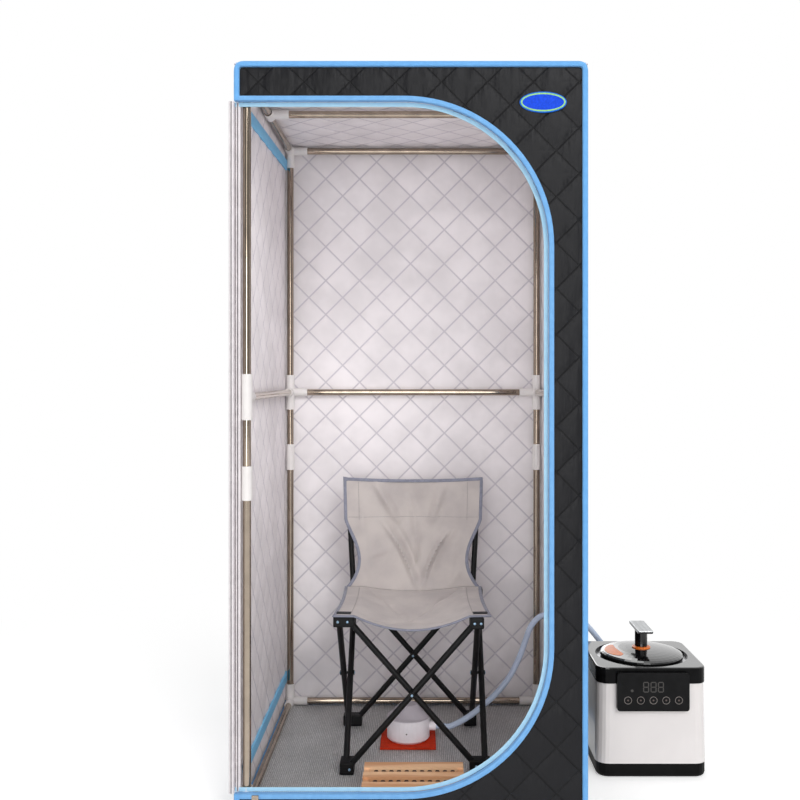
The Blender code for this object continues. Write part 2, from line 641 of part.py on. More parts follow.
def make_pot():
    x, y = POT_CENTRE
    body_low = POT_BASE_HEIGHT + GAP
    body_high = body_low + POT_BODY_HEIGHT
    body = rounded_prism("pot_body", POT_WIDTH, POT_DEPTH, POT_CORNER, body_low, body_high, WHITE, POT_FLARE)
    inner = rounded_prism("pot_hollow", POT_WIDTH - 2 * POT_WALL, POT_DEPTH - 2 * POT_WALL,
                          POT_CORNER - POT_WALL, body_low + POT_WALL, body_high + POT_WALL)
    combine(body, inner, "DIFFERENCE")
    wide, deep, tall = INLET_SIZE
    inlet_x, outlet_x = x + INLET_OFFSET, x + OUTLET_OFFSET
    inlet = block("inlet_recess", (inlet_x - wide / 2, POT_BACK - POT_WALL / 2, INLET_Z - tall / 2),
                  (inlet_x + wide / 2, POT_BACK + deep, INLET_Z + tall / 2))
    combine(body, inlet, "DIFFERENCE")
    for length, radius in ((OUTLET_LENGTH, OUTLET_RADIUS), (OUTLET_COLLAR, OUTLET_COLLAR_RADIUS)):
        combine(body, rod("outlet", (outlet_x, POT_BACK - POT_WALL / 2, OUTLET_Z),
                          (outlet_x, POT_BACK + length, OUTLET_Z), radius, sides=20), "UNION")
    grow = 2 * (POT_FLARE - POT_BASE_INSET)
    foot = rounded_prism("pot_base", POT_WIDTH + grow, POT_DEPTH + grow, POT_CORNER, 0.0, POT_BASE_HEIGHT,
                         BLACK)
    round_rim(foot, -1, POT_BASE_ROUND)
    grow = 2 * POT_RIM_OVERHANG
    rim = rounded_prism("pot_rim", POT_WIDTH + grow, POT_DEPTH + grow, POT_CORNER, POT_RIM_LOW, POT_TOP, BLACK)
    round_rim(rim, 1, POT_RIM_ROUND)
    for bottom, radius in ((POT_RIM_LOW, TANK_RADIUS), (FLANGE_LOW, FLANGE_RADIUS)):
        combine(rim, rod("rim_hole", (x, y, bottom - GAP), (x, y, POT_TOP + GAP), radius + GAP, sides=40),
                "DIFFERENCE")
    inner_radius = TANK_RADIUS - TANK_WALL
    flange_top = FLANGE_LOW + TANK_FLANGE_THICKNESS
    tank_low = FLANGE_LOW - TANK_DEPTH
    floor = tank_low + TANK_WALL
    turned("pot_tank", [(0, floor), (inner_radius, floor), (inner_radius, flange_top),
                        (FLANGE_RADIUS, flange_top), (FLANGE_RADIUS, FLANGE_LOW), (TANK_RADIUS, FLANGE_LOW),
                        (TANK_RADIUS, tank_low), (0, tank_low)], (x, y, 0), STEEL, sides=40)
    seat = flange_top + GAP
    edge = POT_TOP + LID_RISE
    crown = edge + LID_DOME
    dome = [(LID_RADIUS * math.sin(a), edge + LID_DOME * math.cos(a))
            for a in (math.radians(90 * i / 8) for i in range(9))]
    turned("pot_lid", dome + [(LID_RADIUS - LID_DRAFT, seat), (0, seat)], (x, y, 0), BLACK, sides=40)
    base = crown + GAP
    top = base + HANDLE_HEIGHT
    half_w, half_l = HANDLE_WIDTH / 2, HANDLE_LENGTH / 2
    handle = block("pot_handle", (x - half_w, y - half_l, top - HANDLE_BAR), (x + half_w, y + half_l, top),
                   CHROME, round_edges=HANDLE_ROUND)
    post = rod("handle_post", (x, y, base), (x, y, top - HANDLE_BAR / 2), HANDLE_POST_RADIUS, sides=20)
    combine(handle, post, "UNION")
    face = POT_FRONT - POT_RIM_OVERHANG - GAP
    panel = outline_plate("control_panel", rounded_outline(CONTROL_WIDTH, CONTROL_HEIGHT, CONTROL_CORNER),
                          CONTROL_THICKNESS, BLACK)
    stand_up(panel, face - CONTROL_THICKNESS / 2)
    panel.location.x, panel.location.z = x, POT_TOP - CONTROL_TOP - CONTROL_HEIGHT / 2
    soften(as_mesh(panel), CONTROL_ROUND)


def make_hose():
    curve = bpy.data.curves.new("steam_hose", "CURVE")
    curve.dimensions = "3D"
    curve.bevel_depth = HOSE_RADIUS
    curve.bevel_resolution = 2
    curve.use_fill_caps = True
    spline = curve.splines.new("POLY")
    points = smooth_route(HOSE_ROUTE, HOSE_STEPS)
    spline.points.add(len(points) - 1)
    for point, spot in zip(spline.points, points):
        point.co = (*spot, 1.0)
    place(bpy.data.objects.new("steam_hose", curve), HOSE)
    inside, outside = HALF_W - PANEL, HALF_W
    port = rod("hose_port", (inside - PORT_FLANGE - GAP, PORT_Y, PORT_Z),
               (outside + PORT_FLANGE + GAP, PORT_Y, PORT_Z), PORT_RADIUS - GAP, WHITE, sides=24)
    for start in (inside - PORT_FLANGE - GAP, outside + GAP):
        flange = rod("port_flange", (start, PORT_Y, PORT_Z), (start + PORT_FLANGE, PORT_Y, PORT_Z),
                     PORT_FLANGE_RADIUS, sides=24)
        combine(port, flange, "UNION")
    combine(port, rod("port_bore", (inside - PANEL, PORT_Y, PORT_Z), (outside + PANEL, PORT_Y, PORT_Z),
                      HOSE_RADIUS + 2 * GAP, sides=24), "DIFFERENCE")


def make_diffuser():
    x, y = DIFFUSER_CENTRE
    half = PAD_SIDE / 2
    block("diffuser_pad", (x - half, y - half, WALL_LOW), (x + half, y + half, PAD_TOP), ORANGE,
          round_edges=PAD_ROUND)
    low, high = DIFFUSER_LOW, DIFFUSER_LOW + DIFFUSER_HEIGHT
    inner = DIFFUSER_RADIUS - DIFFUSER_WALL
    base = turned("diffuser_base", [(0, low + DIFFUSER_WALL), (inner, low + DIFFUSER_WALL), (inner, high),
                                    (DIFFUSER_RADIUS, high), (DIFFUSER_RADIUS, low + DIFFUSER_ROUND),
                                    (DIFFUSER_RADIUS - DIFFUSER_ROUND, low), (0, low)],
                  (x, y, 0), WHITE, sides=32)
    end = Vector(HOSE_ROUTE[-1])
    toward = Vector((x, y, end.z)) - end
    toward.normalize()
    start = end + toward * GAP
    neck = rod("diffuser_neck", start, Vector((x, y, end.z)) - toward * (inner + DIFFUSER_WALL / 3),
               DIFFUSER_NECK_RADIUS, sides=20)
    combine(base, neck, "UNION")
    seat = high + GAP
    turned("diffuser_lid", [(0, seat + DIFFUSER_CONE), (DIFFUSER_CONE_TOP, seat + DIFFUSER_CONE),
                            (DIFFUSER_RADIUS - DIFFUSER_ROUND, seat + DIFFUSER_ROUND),
                            (DIFFUSER_RADIUS, seat + DIFFUSER_ROUND / 2),
                            (DIFFUSER_RADIUS, seat), (0, seat)], (x, y, 0), FROSTED, sides=32)


def make_foot_roller():
    x, y = ROLLER_X, ROLLER_Y
    low = WALL_LOW
    high = low + ROLLER_HEIGHT
    board_top = high - ROLLER_END_DROP
    half_w, half_d = ROLLER_WIDTH / 2, ROLLER_DEPTH / 2
    inside = half_w - ROLLER_END
    frame = block("foot_roller_frame", (x - half_w, y - half_d, low), (x - inside, y + half_d, board_top),
                  WOOD)
    board = block("end_board", (x + inside, y - half_d, low), (x + half_w, y + half_d, board_top))
    combine(frame, board, "UNION")
    pitch = (ROLLER_DEPTH - ROLLER_SLAT) / 2
    reach = half_w + SLAT_OVERHANG
    for i in range(3):
        slat_y = y - half_d + i * pitch
        combine(frame, block("slat", (x - reach, slat_y - SLAT_LAP, high - ROLLER_SLAT_THICKNESS),
                             (x + reach, slat_y + ROLLER_SLAT + SLAT_LAP, high)), "UNION")
    height = high - ROLLER_TEETH_RADIUS - ROLLER_SINK
    spindle_end = half_w - ROLLER_END / 3
    toothed = inside - ROLLER_END_PLAY
    count = int(2 * toothed / ROLLER_PITCH)
    step = 2 * toothed / count
    profile = [(0, spindle_end), (ROLLER_SPINDLE, spindle_end)]
    for i in range(count):
        start = toothed - i * step
        crest = start - TOOTH_FLANK * step
        profile += [(ROLLER_SPINDLE, start), (ROLLER_TEETH_RADIUS, crest),
                    (ROLLER_TEETH_RADIUS, crest - TOOTH_CREST * step),
                    (ROLLER_SPINDLE, crest - (TOOTH_CREST + TOOTH_FLANK) * step)]
    profile += [(ROLLER_SPINDLE, -spindle_end), (0, -spindle_end)]
    for i in range(2):
        roller_y = y - half_d + ROLLER_SLAT / 2 + (i + 0.5) * pitch
        combine(frame, rod("roller_bore", (x - reach, roller_y, height), (x + reach, roller_y, height),
                           ROLLER_SPINDLE + GAP, sides=20), "DIFFERENCE")
        roller = turned(f"foot_roller_{i + 1}", profile, (x, roller_y, height), DARK_WOOD, sides=12)
        roller.rotation_euler = (0.0, math.pi / 2, 0.0)


clear_scene()
PARTS = new_collection("portable_steam_sauna")
CUTTERS = new_collection("cutters")
bores = []
QUILT = material("quilted_panel", (0.03, 0.03, 0.035), 0.6)
MAT_GREY = material("floor_mat", (0.45, 0.45, 0.46), 0.5)
STEEL = material("frame_steel", (0.62, 0.58, 0.50), 0.25, 1.0)
WHITE = material("white_plastic", (0.85, 0.84, 0.82), 0.4)
BLACK = material("black_plastic", (0.015, 0.015, 0.016), 0.3)
RUBBER = material("chair_joint", (0.02, 0.02, 0.02), 0.6)
CANVAS = material("grey_canvas", (0.36, 0.35, 0.34), 0.8)
CHROME = material("handle_metal", (0.55, 0.56, 0.57), 0.2, 1.0)
HOSE = material("clear_hose", (0.75, 0.78, 0.85), 0.3)
ORANGE = material("orange_pad", (0.80, 0.10, 0.02), 0.6)
FROSTED = material("frosted_lid", (0.75, 0.73, 0.75), 0.4)
WOOD = material("wood", (0.60, 0.33, 0.15), 0.5)
DARK_WOOD = material("dark_wood", (0.10, 0.05, 0.03), 0.5)

make_panels()
make_door()
make_frame()
make_chair()
make_slings()
make_pot()
make_hose()
make_diffuser()
make_foot_roller()
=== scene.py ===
"""Looks of a portable steam sauna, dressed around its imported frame. Metres, +Z up, doorway towards -Y."""
import math

import bmesh
import bpy
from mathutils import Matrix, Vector, noise


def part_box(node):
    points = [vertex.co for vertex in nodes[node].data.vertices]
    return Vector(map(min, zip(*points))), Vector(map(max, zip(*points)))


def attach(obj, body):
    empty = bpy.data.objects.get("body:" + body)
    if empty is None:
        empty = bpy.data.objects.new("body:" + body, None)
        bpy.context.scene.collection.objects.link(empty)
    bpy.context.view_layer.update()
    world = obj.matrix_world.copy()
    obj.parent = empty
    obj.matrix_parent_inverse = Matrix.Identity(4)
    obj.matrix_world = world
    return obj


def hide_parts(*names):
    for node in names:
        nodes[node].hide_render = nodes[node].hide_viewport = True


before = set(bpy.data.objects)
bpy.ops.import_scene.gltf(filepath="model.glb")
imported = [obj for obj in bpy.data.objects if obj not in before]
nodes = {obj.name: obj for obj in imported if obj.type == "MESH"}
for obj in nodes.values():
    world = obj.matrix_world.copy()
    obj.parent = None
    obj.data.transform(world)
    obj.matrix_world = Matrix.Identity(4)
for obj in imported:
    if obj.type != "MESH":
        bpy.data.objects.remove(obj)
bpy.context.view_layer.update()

# The photograph's camera: a level view, with the frame shifted off its axis
CAMERA_PLACE = (0.0213, -2.6157, 1.0035)
LENS = 44.1
SENSOR = 36.0
SHIFT = (-0.0255, -0.0275)

# Quilting: squares on their corners, with the seam crossing that fixes the pattern on each panel
DIAMOND = 0.104
CELLS = 12
SEAM_DEPTH = 0.0050
EDGE_FADE = 0.022

# Doorway outline, as in the front panel
DOOR_RIGHT = 0.314
DOOR_CLEARANCE = 0.003
DOOR_CORNER = 0.330

# Bindings and tapes
BIND_WIDTH = 0.013
BIND_DEPTH = 0.015
PIPING = 0.007
BIND_CORNER = 0.016
ZIP_TAPE = 0.0115
ZIP_EDGE = 0.0100
FOLD_DEPTH = 0.020
WALL_TAPE = 0.030


def rgb(red, green, blue):
    """A colour read as 0 to 255 on a screen, as the linear values that a shader takes."""
    values = [c / 255 for c in (red, green, blue)]
    return tuple(v / 12.92 if v <= 0.04045 else ((v + 0.055) / 1.055) ** 2.4 for v in values)


class Finish:
    """A procedural material while it is being wired."""

    def __init__(self, name, colour, roughness, **sockets):
        self.material = bpy.data.materials.new(name)
        self.material.use_nodes = True
        self.tree = self.material.node_tree
        self.shader = self.tree.nodes["Principled BSDF"]
        self.colour = (*colour, 1.0)
        self.shader.inputs["Base Color"].default_value = self.colour
        self.shader.inputs["Roughness"].default_value = roughness
        for socket, value in sockets.items():
            self.shader.inputs[socket.replace("_", " ")].default_value = value

    def node(self, kind, inputs=None, **settings):
        made = self.tree.nodes.new(kind)
        for key, value in settings.items():
            setattr(made, key, value)
        for key, value in (inputs or {}).items():
            self.feed(made.inputs[key], value)
        return made

    def feed(self, socket, value):
        if isinstance(value, bpy.types.NodeSocket):
            self.tree.links.new(value, socket)
        else:
            socket.default_value = value

    def coords(self, kind="Object", stretch=(1.0, 1.0, 1.0)):
        source = self.node("ShaderNodeTexCoord").outputs[kind]
        return self.node("ShaderNodeMapping", {"Vector": source, "Scale": stretch}).outputs["Vector"]

    def noise(self, scale, detail=3.0, kind="Object", stretch=(1.0, 1.0, 1.0)):
        where = self.coords(kind, stretch)
        return self.node("ShaderNodeTexNoise", {"Vector": where, "Scale": scale, "Detail": detail}).outputs["Fac"]

    def math(self, operation, first, second=0.0, third=0.0):
        return self.node("ShaderNodeMath", {0: first, 1: second, 2: third}, operation=operation).outputs[0]

    def span(self, value, low, high, to_low=0.0, to_high=1.0):
        inputs = {"Value": value, "From Min": low, "From Max": high, "To Min": to_low, "To Max": to_high}
        return self.node("ShaderNodeMapRange", inputs, interpolation_type="SMOOTHSTEP").outputs["Result"]

    def mix(self, factor, first, second):
        made = self.node("ShaderNodeMix", data_type="RGBA")
        for socket, value in ((made.inputs[0], factor), (made.inputs[6], first), (made.inputs[7], second)):
            self.feed(socket, (*value, 1.0) if isinstance(value, tuple) and len(value) == 3 else value)
        return made.outputs[2]

    def set(self, socket, value):
        self.feed(self.shader.inputs[socket], value)
        return self

    def bump(self, height, distance, strength=1.0):
        made = self.node("ShaderNodeBump", {"Height": height, "Distance": distance, "Strength": strength})
        before = self.shader.inputs["Normal"].links
        if before:
            self.tree.links.new(before[0].from_socket, made.inputs["Normal"])
        self.tree.links.new(made.outputs["Normal"], self.shader.inputs["Normal"])
        return self

    def bump_noise(self, scale, distance, stretch=(1.0, 1.0, 1.0), detail=2.0):
        return self.bump(self.noise(scale, detail, stretch=stretch), distance)

    def mottle(self, scale, amount, stretch=(1.0, 1.0, 1.0)):
        """Small changes of the base colour over the surface, lighter and darker by a share."""
        spots = self.span(self.noise(scale, stretch=stretch), 0.3, 0.7)
        dark = tuple(c * (1 - amount) for c in self.colour[:3])
        light = tuple(min(1.0, c * (1 + amount)) for c in self.colour[:3])
        self.set("Base Color", self.mix(spots, dark, light))
        return self


def seam_distance(made):
    """Distance in metres from the nearest quilting seam, from the panel's own UV map."""
    parts = made.node("ShaderNodeSeparateXYZ", {0: made.node("ShaderNodeTexCoord").outputs["UV"]}).outputs
    gaps = []
    for operation in ("ADD", "SUBTRACT"):
        along = made.math("DIVIDE", made.math(operation, parts[0], parts[1]), DIAMOND)
        off = made.math("PINGPONG", along, 0.5)
        gaps.append(made.math("MULTIPLY", off, DIAMOND / math.sqrt(2)))
    return made.math("MINIMUM", *gaps)


def quilt_finish(name, colour, seam_shade_colour, roughness, gloss, crease):
    """Quilted cloth: a fine weave, drawn creases that fade away from the seams, a drawn dip along each seam, and
    painted shade that darkens the groove along each seam.
    """
    made = Finish(name, colour, roughness, Specular_IOR_Level=gloss)
    off = seam_distance(made)
    drift = made.span(made.noise(9.0), 0.3, 0.7)
    cloth = made.mix(drift, tuple(0.93 * c for c in colour), tuple(min(1.0, 1.06 * c) for c in colour))
    # Painted shade: the base colour darkens towards the seam colour over a few millimetres either side of each seam
    groove_shade = made.span(off, 0.0006, 0.0036, 0.8, 0.0)
    made.set("Base Color", made.mix(groove_shade, cloth, seam_shade_colour))
    pull = made.noise(46.0, 4.0, stretch=(1.0, 1.0, 0.22))
    near = made.span(off, 0.0, 0.030, 1.0, 0.35)
    made.bump(made.math("MULTIPLY", pull, near), crease)
    made.bump(made.noise(1400.0, 1.0), 0.0002, 0.5)
    made.bump(made.span(off, 0.0, 0.0022), 0.0012, 0.6)
    return made.material


# The second colour of each quilt is the painted shade of its seam grooves
SHELL = quilt_finish("quilt_shell", rgb(25, 25, 28), rgb(12, 12, 14), 0.42, 0.2, 0.0045)
LINING = quilt_finish("quilt_lining", rgb(242, 237, 239), rgb(204, 198, 207), 0.7, 0.15, 0.0030)


def tape_finish(name, colour, dark):
    """Woven tape: fine ribs across it and a tone that varies, from the sweep's UV map in metres."""
    made = Finish(name, colour, 0.55, Sheen_Weight=0.2)
    parts = made.node("ShaderNodeSeparateXYZ", {0: made.node("ShaderNodeTexCoord").outputs["UV"]}).outputs
    ribs = made.math("PINGPONG", parts[0], 0.0013)
    tone = made.span(made.noise(60.0), 0.3, 0.7)
    made.set("Base Color", made.mix(made.math("MULTIPLY", tone, 0.5), colour, dark))
    made.bump(ribs, 0.6)
    return made.material


BLUE = tape_finish("binding_blue", rgb(112, 182, 243), rgb(98, 168, 234))
ZIP_BLUE = tape_finish("zip_blue", rgb(122, 184, 240), rgb(102, 166, 228))
ZIP_PALE = tape_finish("zip_pale", rgb(182, 226, 248), rgb(164, 212, 240))
LINER_BLUE = tape_finish("liner_blue", rgb(118, 204, 250), rgb(98, 184, 238))
FOLD = Finish("lining_fold", rgb(226, 220, 222), 0.7).mottle(40.0, 0.05).bump_noise(60.0, 0.003).material


def make_camera():
    data = bpy.data.cameras.new("camera")
    data.lens = LENS
    data.sensor_width = SENSOR
    data.shift_x, data.shift_y = SHIFT
    camera = bpy.data.objects.new("camera", data)
    bpy.context.scene.collection.objects.link(camera)
    camera.location = CAMERA_PLACE
    camera.rotation_euler = (math.pi / 2, 0.0, 0.0)
    bpy.context.scene.camera = camera


def piece(name, mesh, body, *finishes, smooth=True):
    made = bpy.data.objects.new(name, mesh)
    bpy.context.scene.collection.objects.link(made)
    for finish in finishes:
        mesh.materials.append(finish)
    if smooth and isinstance(mesh, bpy.types.Mesh):
        mesh.shade_smooth()
        mesh.set_sharp_from_angle(angle=math.radians(50))
    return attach(made, body)


def from_bmesh(name, bm):
    mesh = bpy.data.meshes.new(name)
    bmesh.ops.recalc_face_normals(bm, faces=bm.faces)
    bm.to_mesh(mesh)
    bm.free()
    return mesh


def arc(centre, radius, start_deg, end_deg, steps):
    for i in range(steps + 1):
        angle = math.radians(start_deg + (end_deg - start_deg) * i / steps)
        yield centre[0] + radius * math.cos(angle), centre[1] + radius * math.sin(angle)


FLAP_LOW, FLAP_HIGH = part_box("door_flap")
DOOR_TOP = FLAP_HIGH.z + DOOR_CLEARANCE
DOOR_SILL = FLAP_LOW.z - DOOR_CLEARANCE


def doorway_outline(left, inset, steps=24):
    """The doorway in X and Z from sill to top, shrunk by an inset."""
    right, top, sill = DOOR_RIGHT - inset, DOOR_TOP - inset, DOOR_SILL + inset
    corner = DOOR_CORNER - inset
    points = [(left, sill)]
    points += arc((right - corner, sill + corner), corner, -90, 0, steps)
    points += arc((right - corner, top - corner), corner, 0, 90, steps)
    points.append((left, top))
    return points


def spread(low, high, origin, step):
    """Grid lines from low to high, on multiples of a step from an origin, with the two ends."""
    first = math.ceil((low - origin) / step + 0.35)
    last = math.floor((high - origin) / step - 0.35)
    return [low] + [origin + step * i for i in range(first, last + 1)] + [high]


def quilt_mesh(name, low, high, thin, shell_side, crossing):
    """A quilted slab between two corners: puffed squares on both faces, drawn in at the seams and at its edges."""
    across, up = [axis for axis in range(3) if axis != thin]
    lines_u = spread(low[across], high[across], crossing[0], DIAMOND / CELLS)
    lines_v = spread(low[up], high[up], crossing[1], DIAMOND / CELLS)

    def relief(u, v):
        du, dv = u - crossing[0], v - crossing[1]
        first = abs(math.sin(math.pi * (du + dv) / DIAMOND))
        second = abs(math.sin(math.pi * (du - dv) / DIAMOND))
        border = min(u - low[across], high[across] - u, v - low[up], high[up] - v)
        fade = min(1.0, border / EDGE_FADE)
        slack = 0.86 + 0.28 * noise.noise(Vector((u * 7, v * 7, thin * 3.7)))
        return min(1.0, (first * second) ** 0.5 * slack) * fade

    bm = bmesh.new()
    grids = []
    heights = [[relief(u, v) for u in lines_u] for v in lines_v]
    for face in (low[thin], high[thin]):
        inward = 1 if face == low[thin] else -1
        rows = []
        for v, row in zip(lines_v, heights):
            spots = []
            for u, height in zip(lines_u, row):
                spot = [0.0, 0.0, 0.0]
                spot[across], spot[up] = u, v
                spot[thin] = face + inward * SEAM_DEPTH * (1 - height)
                spots.append(bm.verts.new(spot))
            rows.append(spots)
        grids.append(rows)
    for k, rows in enumerate(grids):
        shown = 0 if (k == 1) == (shell_side > 0) else 1
        for j in range(len(lines_v) - 1):
            for i in range(len(lines_u) - 1):
                a, b, c, d = rows[j][i], rows[j][i + 1], rows[j + 1][i + 1], rows[j + 1][i]
                rising = heights[j][i] + heights[j + 1][i + 1] < heights[j][i + 1] + heights[j + 1][i]
                for corners in ((a, b, c), (a, c, d)) if rising else ((a, b, d), (b, c, d)):
                    bm.faces.new(corners).material_index = shown
    last_v, last_u = len(lines_v) - 1, len(lines_u) - 1
    rim = [(0, i) for i in range(last_u)] + [(j, last_u) for j in range(last_v)]
    rim += [(last_v, i) for i in range(last_u, 0, -1)] + [(j, 0) for j in range(last_v, 0, -1)]
    for (j, i), (j2, i2) in zip(rim, rim[1:] + rim[:1]):
        bm.faces.new((grids[0][j][i], grids[0][j2][i2], grids[1][j2][i2], grids[1][j][i])).material_index = 1
    layer = bm.loops.layers.uv.new("quilt")
    for face in bm.faces:
        for loop in face.loops:
            loop[layer].uv = (loop.vert.co[across] - crossing[0], loop.vert.co[up] - crossing[1])
    return from_bmesh(name, bm)


def door_plate(name, outline, low, high, thin):
    """A plain plate of a doorway's outline, which cuts right through a panel and leaves lining at the cut."""
    bm = bmesh.new()
    rings = []
    for level in (low, high):
        spots = []
        for first, second in outline:
            spots.append(bm.verts.new((level, first, second) if thin == 0 else (first, level, second)))
        rings.append(spots)
        bm.faces.new(spots)
    for i in range(len(outline)):
        bm.faces.new((rings[0][i - 1], rings[0][i], rings[1][i], rings[1][i - 1]))
    for face in bm.faces:
        face.material_index = 1
    made = bpy.data.objects.new(name, from_bmesh(name, bm))
    bpy.context.scene.collection.objects.link(made)
    return made


def cut_mesh(mesh, cutter, operation):
    """The mesh after one Boolean with a cutter, which is then removed."""
    holder = bpy.data.objects.new("cut", mesh)
    bpy.context.scene.collection.objects.link(holder)
    step = holder.modifiers.new("cut", "BOOLEAN")
    step.operation = operation
    step.object = cutter
    bpy.context.view_layer.update()
    made = bpy.data.meshes.new_from_object(holder.evaluated_get(bpy.context.evaluated_depsgraph_get()))
    bpy.data.objects.remove(holder)
    bpy.data.objects.remove(cutter)
    return made


def make_quilts():
    """Every quilted panel, in the space of its solid."""
    plain = {"left_wall": (0, -1, (0.020, 0.1583)), "right_wall": (0, 1, (0.020, 0.1583)),
             "back_wall": (1, 1, (0.2508, 0.1583)), "roof_panel": (2, 1, (0.0, 0.0))}
    for node, (thin, shell_side, crossing) in plain.items():
        low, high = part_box(node)
        finish_quilt(node, quilt_mesh(node + "_quilt", low, high, thin, shell_side, crossing), "cabin")
    low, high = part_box("front_panel")
    slab = quilt_mesh("front_panel_quilt", low, high, 1, -1, (0.2772, 1.6741))
    opening = door_plate("opening", doorway_outline(low.x - BIND_WIDTH, 0.0), low.y - 0.02, high.y + 0.02, 1)
    finish_quilt("front_panel", cut_mesh(slab, opening, "DIFFERENCE"), "cabin")
    low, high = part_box("door_flap")
    slab = quilt_mesh("door_flap_quilt", low, high, 0, 1, (0.0, 0.1583))
    shape = [(x - DOOR_RIGHT + DOOR_CLEARANCE + high.y, z)
             for x, z in doorway_outline(DOOR_RIGHT - (high.y - low.y) - 0.05, DOOR_CLEARANCE)]
    plate = door_plate("flap_shape", shape, low.x - 0.02, high.x + 0.02, 0)
    finish_quilt("door_flap", cut_mesh(slab, plate, "INTERSECT"), "door")


def finish_quilt(node, mesh, body):
    made = piece(node + "_quilt", mesh, body, SHELL, LINING)
    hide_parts(node)
    return made


def sweep(name, path, normal, section, body, finish, closed=False):
    """A band along a path: its section's points are (sideways, out along the normal), in metres."""
    spots = [Vector(p) for p in path]
    normal = Vector(normal).normalized()
    bm = bmesh.new()
    layer = bm.loops.layers.uv.new("band")
    rings, runs, run = [], [], 0.0
    count = len(spots)
    for i, spot in enumerate(spots):
        before = spots[i - 1] if i or closed else spot
        after = spots[(i + 1) % count] if i < count - 1 or closed else spot
        tangent = (after - before).normalized()
        side = tangent.cross(normal).normalized()
        one = (spot - before).normalized() if (spot - before).length else tangent
        miter = 1.0 / max(0.5, one.dot(tangent))
        rings.append([bm.verts.new(spot + side * s * miter + normal * n) for s, n in section])
        run += (spot - spots[i - 1]).length if i else 0.0
        runs.append(run)
    around = [0.0]
    for (s0, n0), (s1, n1) in zip(section, section[1:] + section[:1]):
        around.append(around[-1] + math.hypot(s1 - s0, n1 - n0))
    for i in range(count if closed else count - 1):
        j = (i + 1) % count
        ends = (runs[i], runs[j] if j else runs[i] + (spots[0] - spots[i]).length)
        for k in range(len(section)):
            m = (k + 1) % len(section)
            face = bm.faces.new((rings[i][k], rings[i][m], rings[j][m], rings[j][k]))
            for loop, uv in zip(face.loops, ((ends[0], around[k]), (ends[0], around[k + 1]),
                                             (ends[1], around[k + 1]), (ends[1], around[k]))):
                loop[layer].uv = uv
    if not closed:
        bm.faces.new(rings[0])
        bm.faces.new(rings[-1])
    return piece(name, from_bmesh(name, bm), body, finish)


def rounded_section(width, depth, corner, middle=0.0):
    """A rounded rectangle, width sideways and depth out, about a middle depth."""
    w, d = width / 2 - corner, depth / 2 - corner
    points = []
    for cx, cy, start in ((w, d, 0), (-w, d, 90), (-w, -d, 180), (w, -d, 270)):
        points += [(x, y + middle) for x, y in arc((cx, cy), corner, start, start + 90, 3)]
    return points


def rounded_corners(points, radius, closed, steps=6):
    """The same path with each inner corner turned into an arc."""
    spots = [Vector(p) for p in points]
    made = []
    for i, spot in enumerate(spots):
        if not closed and i in (0, len(spots) - 1):
            made.append(spot)
            continue
        to_last = (spots[i - 1] - spot).normalized()
        to_next = (spots[(i + 1) % len(spots)] - spot).normalized()
        for k in range(steps + 1):
            t = k / steps
            made.append(spot + to_last * radius * (1 - t) ** 2 + to_next * radius * t ** 2)
    return made


MAT_LOW, MAT_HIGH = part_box("floor_mat")
ROOF_LOW, ROOF_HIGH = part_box("roof_panel")
WALL_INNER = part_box("left_wall")[1].x
FRONT = MAT_LOW.y


def make_bindings():
    """Blue binding along the cabin's edges; in front it stops where the doorway meets the left edge."""
    inset = BIND_WIDTH / 2 - 0.001
    left, right = MAT_LOW.x + inset, MAT_HIGH.x - inset
    bottom, top = MAT_LOW.z + inset, ROOF_HIGH.z - inset
    section = rounded_section(BIND_WIDTH, BIND_DEPTH, 0.004, 0.002 - BIND_DEPTH / 2)
    front = [(left, DOOR_TOP), (left, top), (right, top), (right, bottom), (left, bottom), (left, DOOR_SILL)]
    path = rounded_corners([(x, FRONT, z) for x, z in front], BIND_CORNER, False)
    sweep("front_binding", path, (0, -1, 0), section, "cabin", BLUE)
    back = [(left, MAT_HIGH.y, top), (right, MAT_HIGH.y, top), (right, MAT_HIGH.y, bottom), (left, MAT_HIGH.y, bottom)]
    sweep("back_binding", rounded_corners(back, BIND_CORNER, True), (0, 1, 0), section, "cabin", BLUE, closed=True)
    square = rounded_section(BIND_WIDTH, BIND_WIDTH, 0.005)
    for name, x, z in (("top_left", left, top), ("top_right", right, top),
                       ("bottom_left", left, bottom), ("bottom_right", right, bottom)):
        path = [(x, FRONT + BIND_WIDTH, z), (x, 0.0, z), (x, MAT_HIGH.y - BIND_WIDTH, z)]
        sweep(name + "_binding", path, (0, 0, 1), square, "cabin", BLUE)
    # Pale piping that covers the binding in the rear corners of the lining
    piping = rounded_section(PIPING, PIPING, 0.003)
    side, rear, high = MAT_HIGH.x - 1.5 * PIPING, MAT_HIGH.y - 0.016, ROOF_HIGH.z - 1.5 * PIPING
    for name, x in (("left_piping", -side), ("right_piping", side)):
        path = [(x, rear, z) for z in (bottom + BIND_WIDTH, (bottom + high) / 2, high)]
        sweep(name, path, (0, -1, 0), piping, "cabin", FOLD)
    sweep("top_piping", [(-side, rear, high), (0.0, rear, high), (side, rear, high)], (0, -1, 0), piping, "cabin", FOLD)


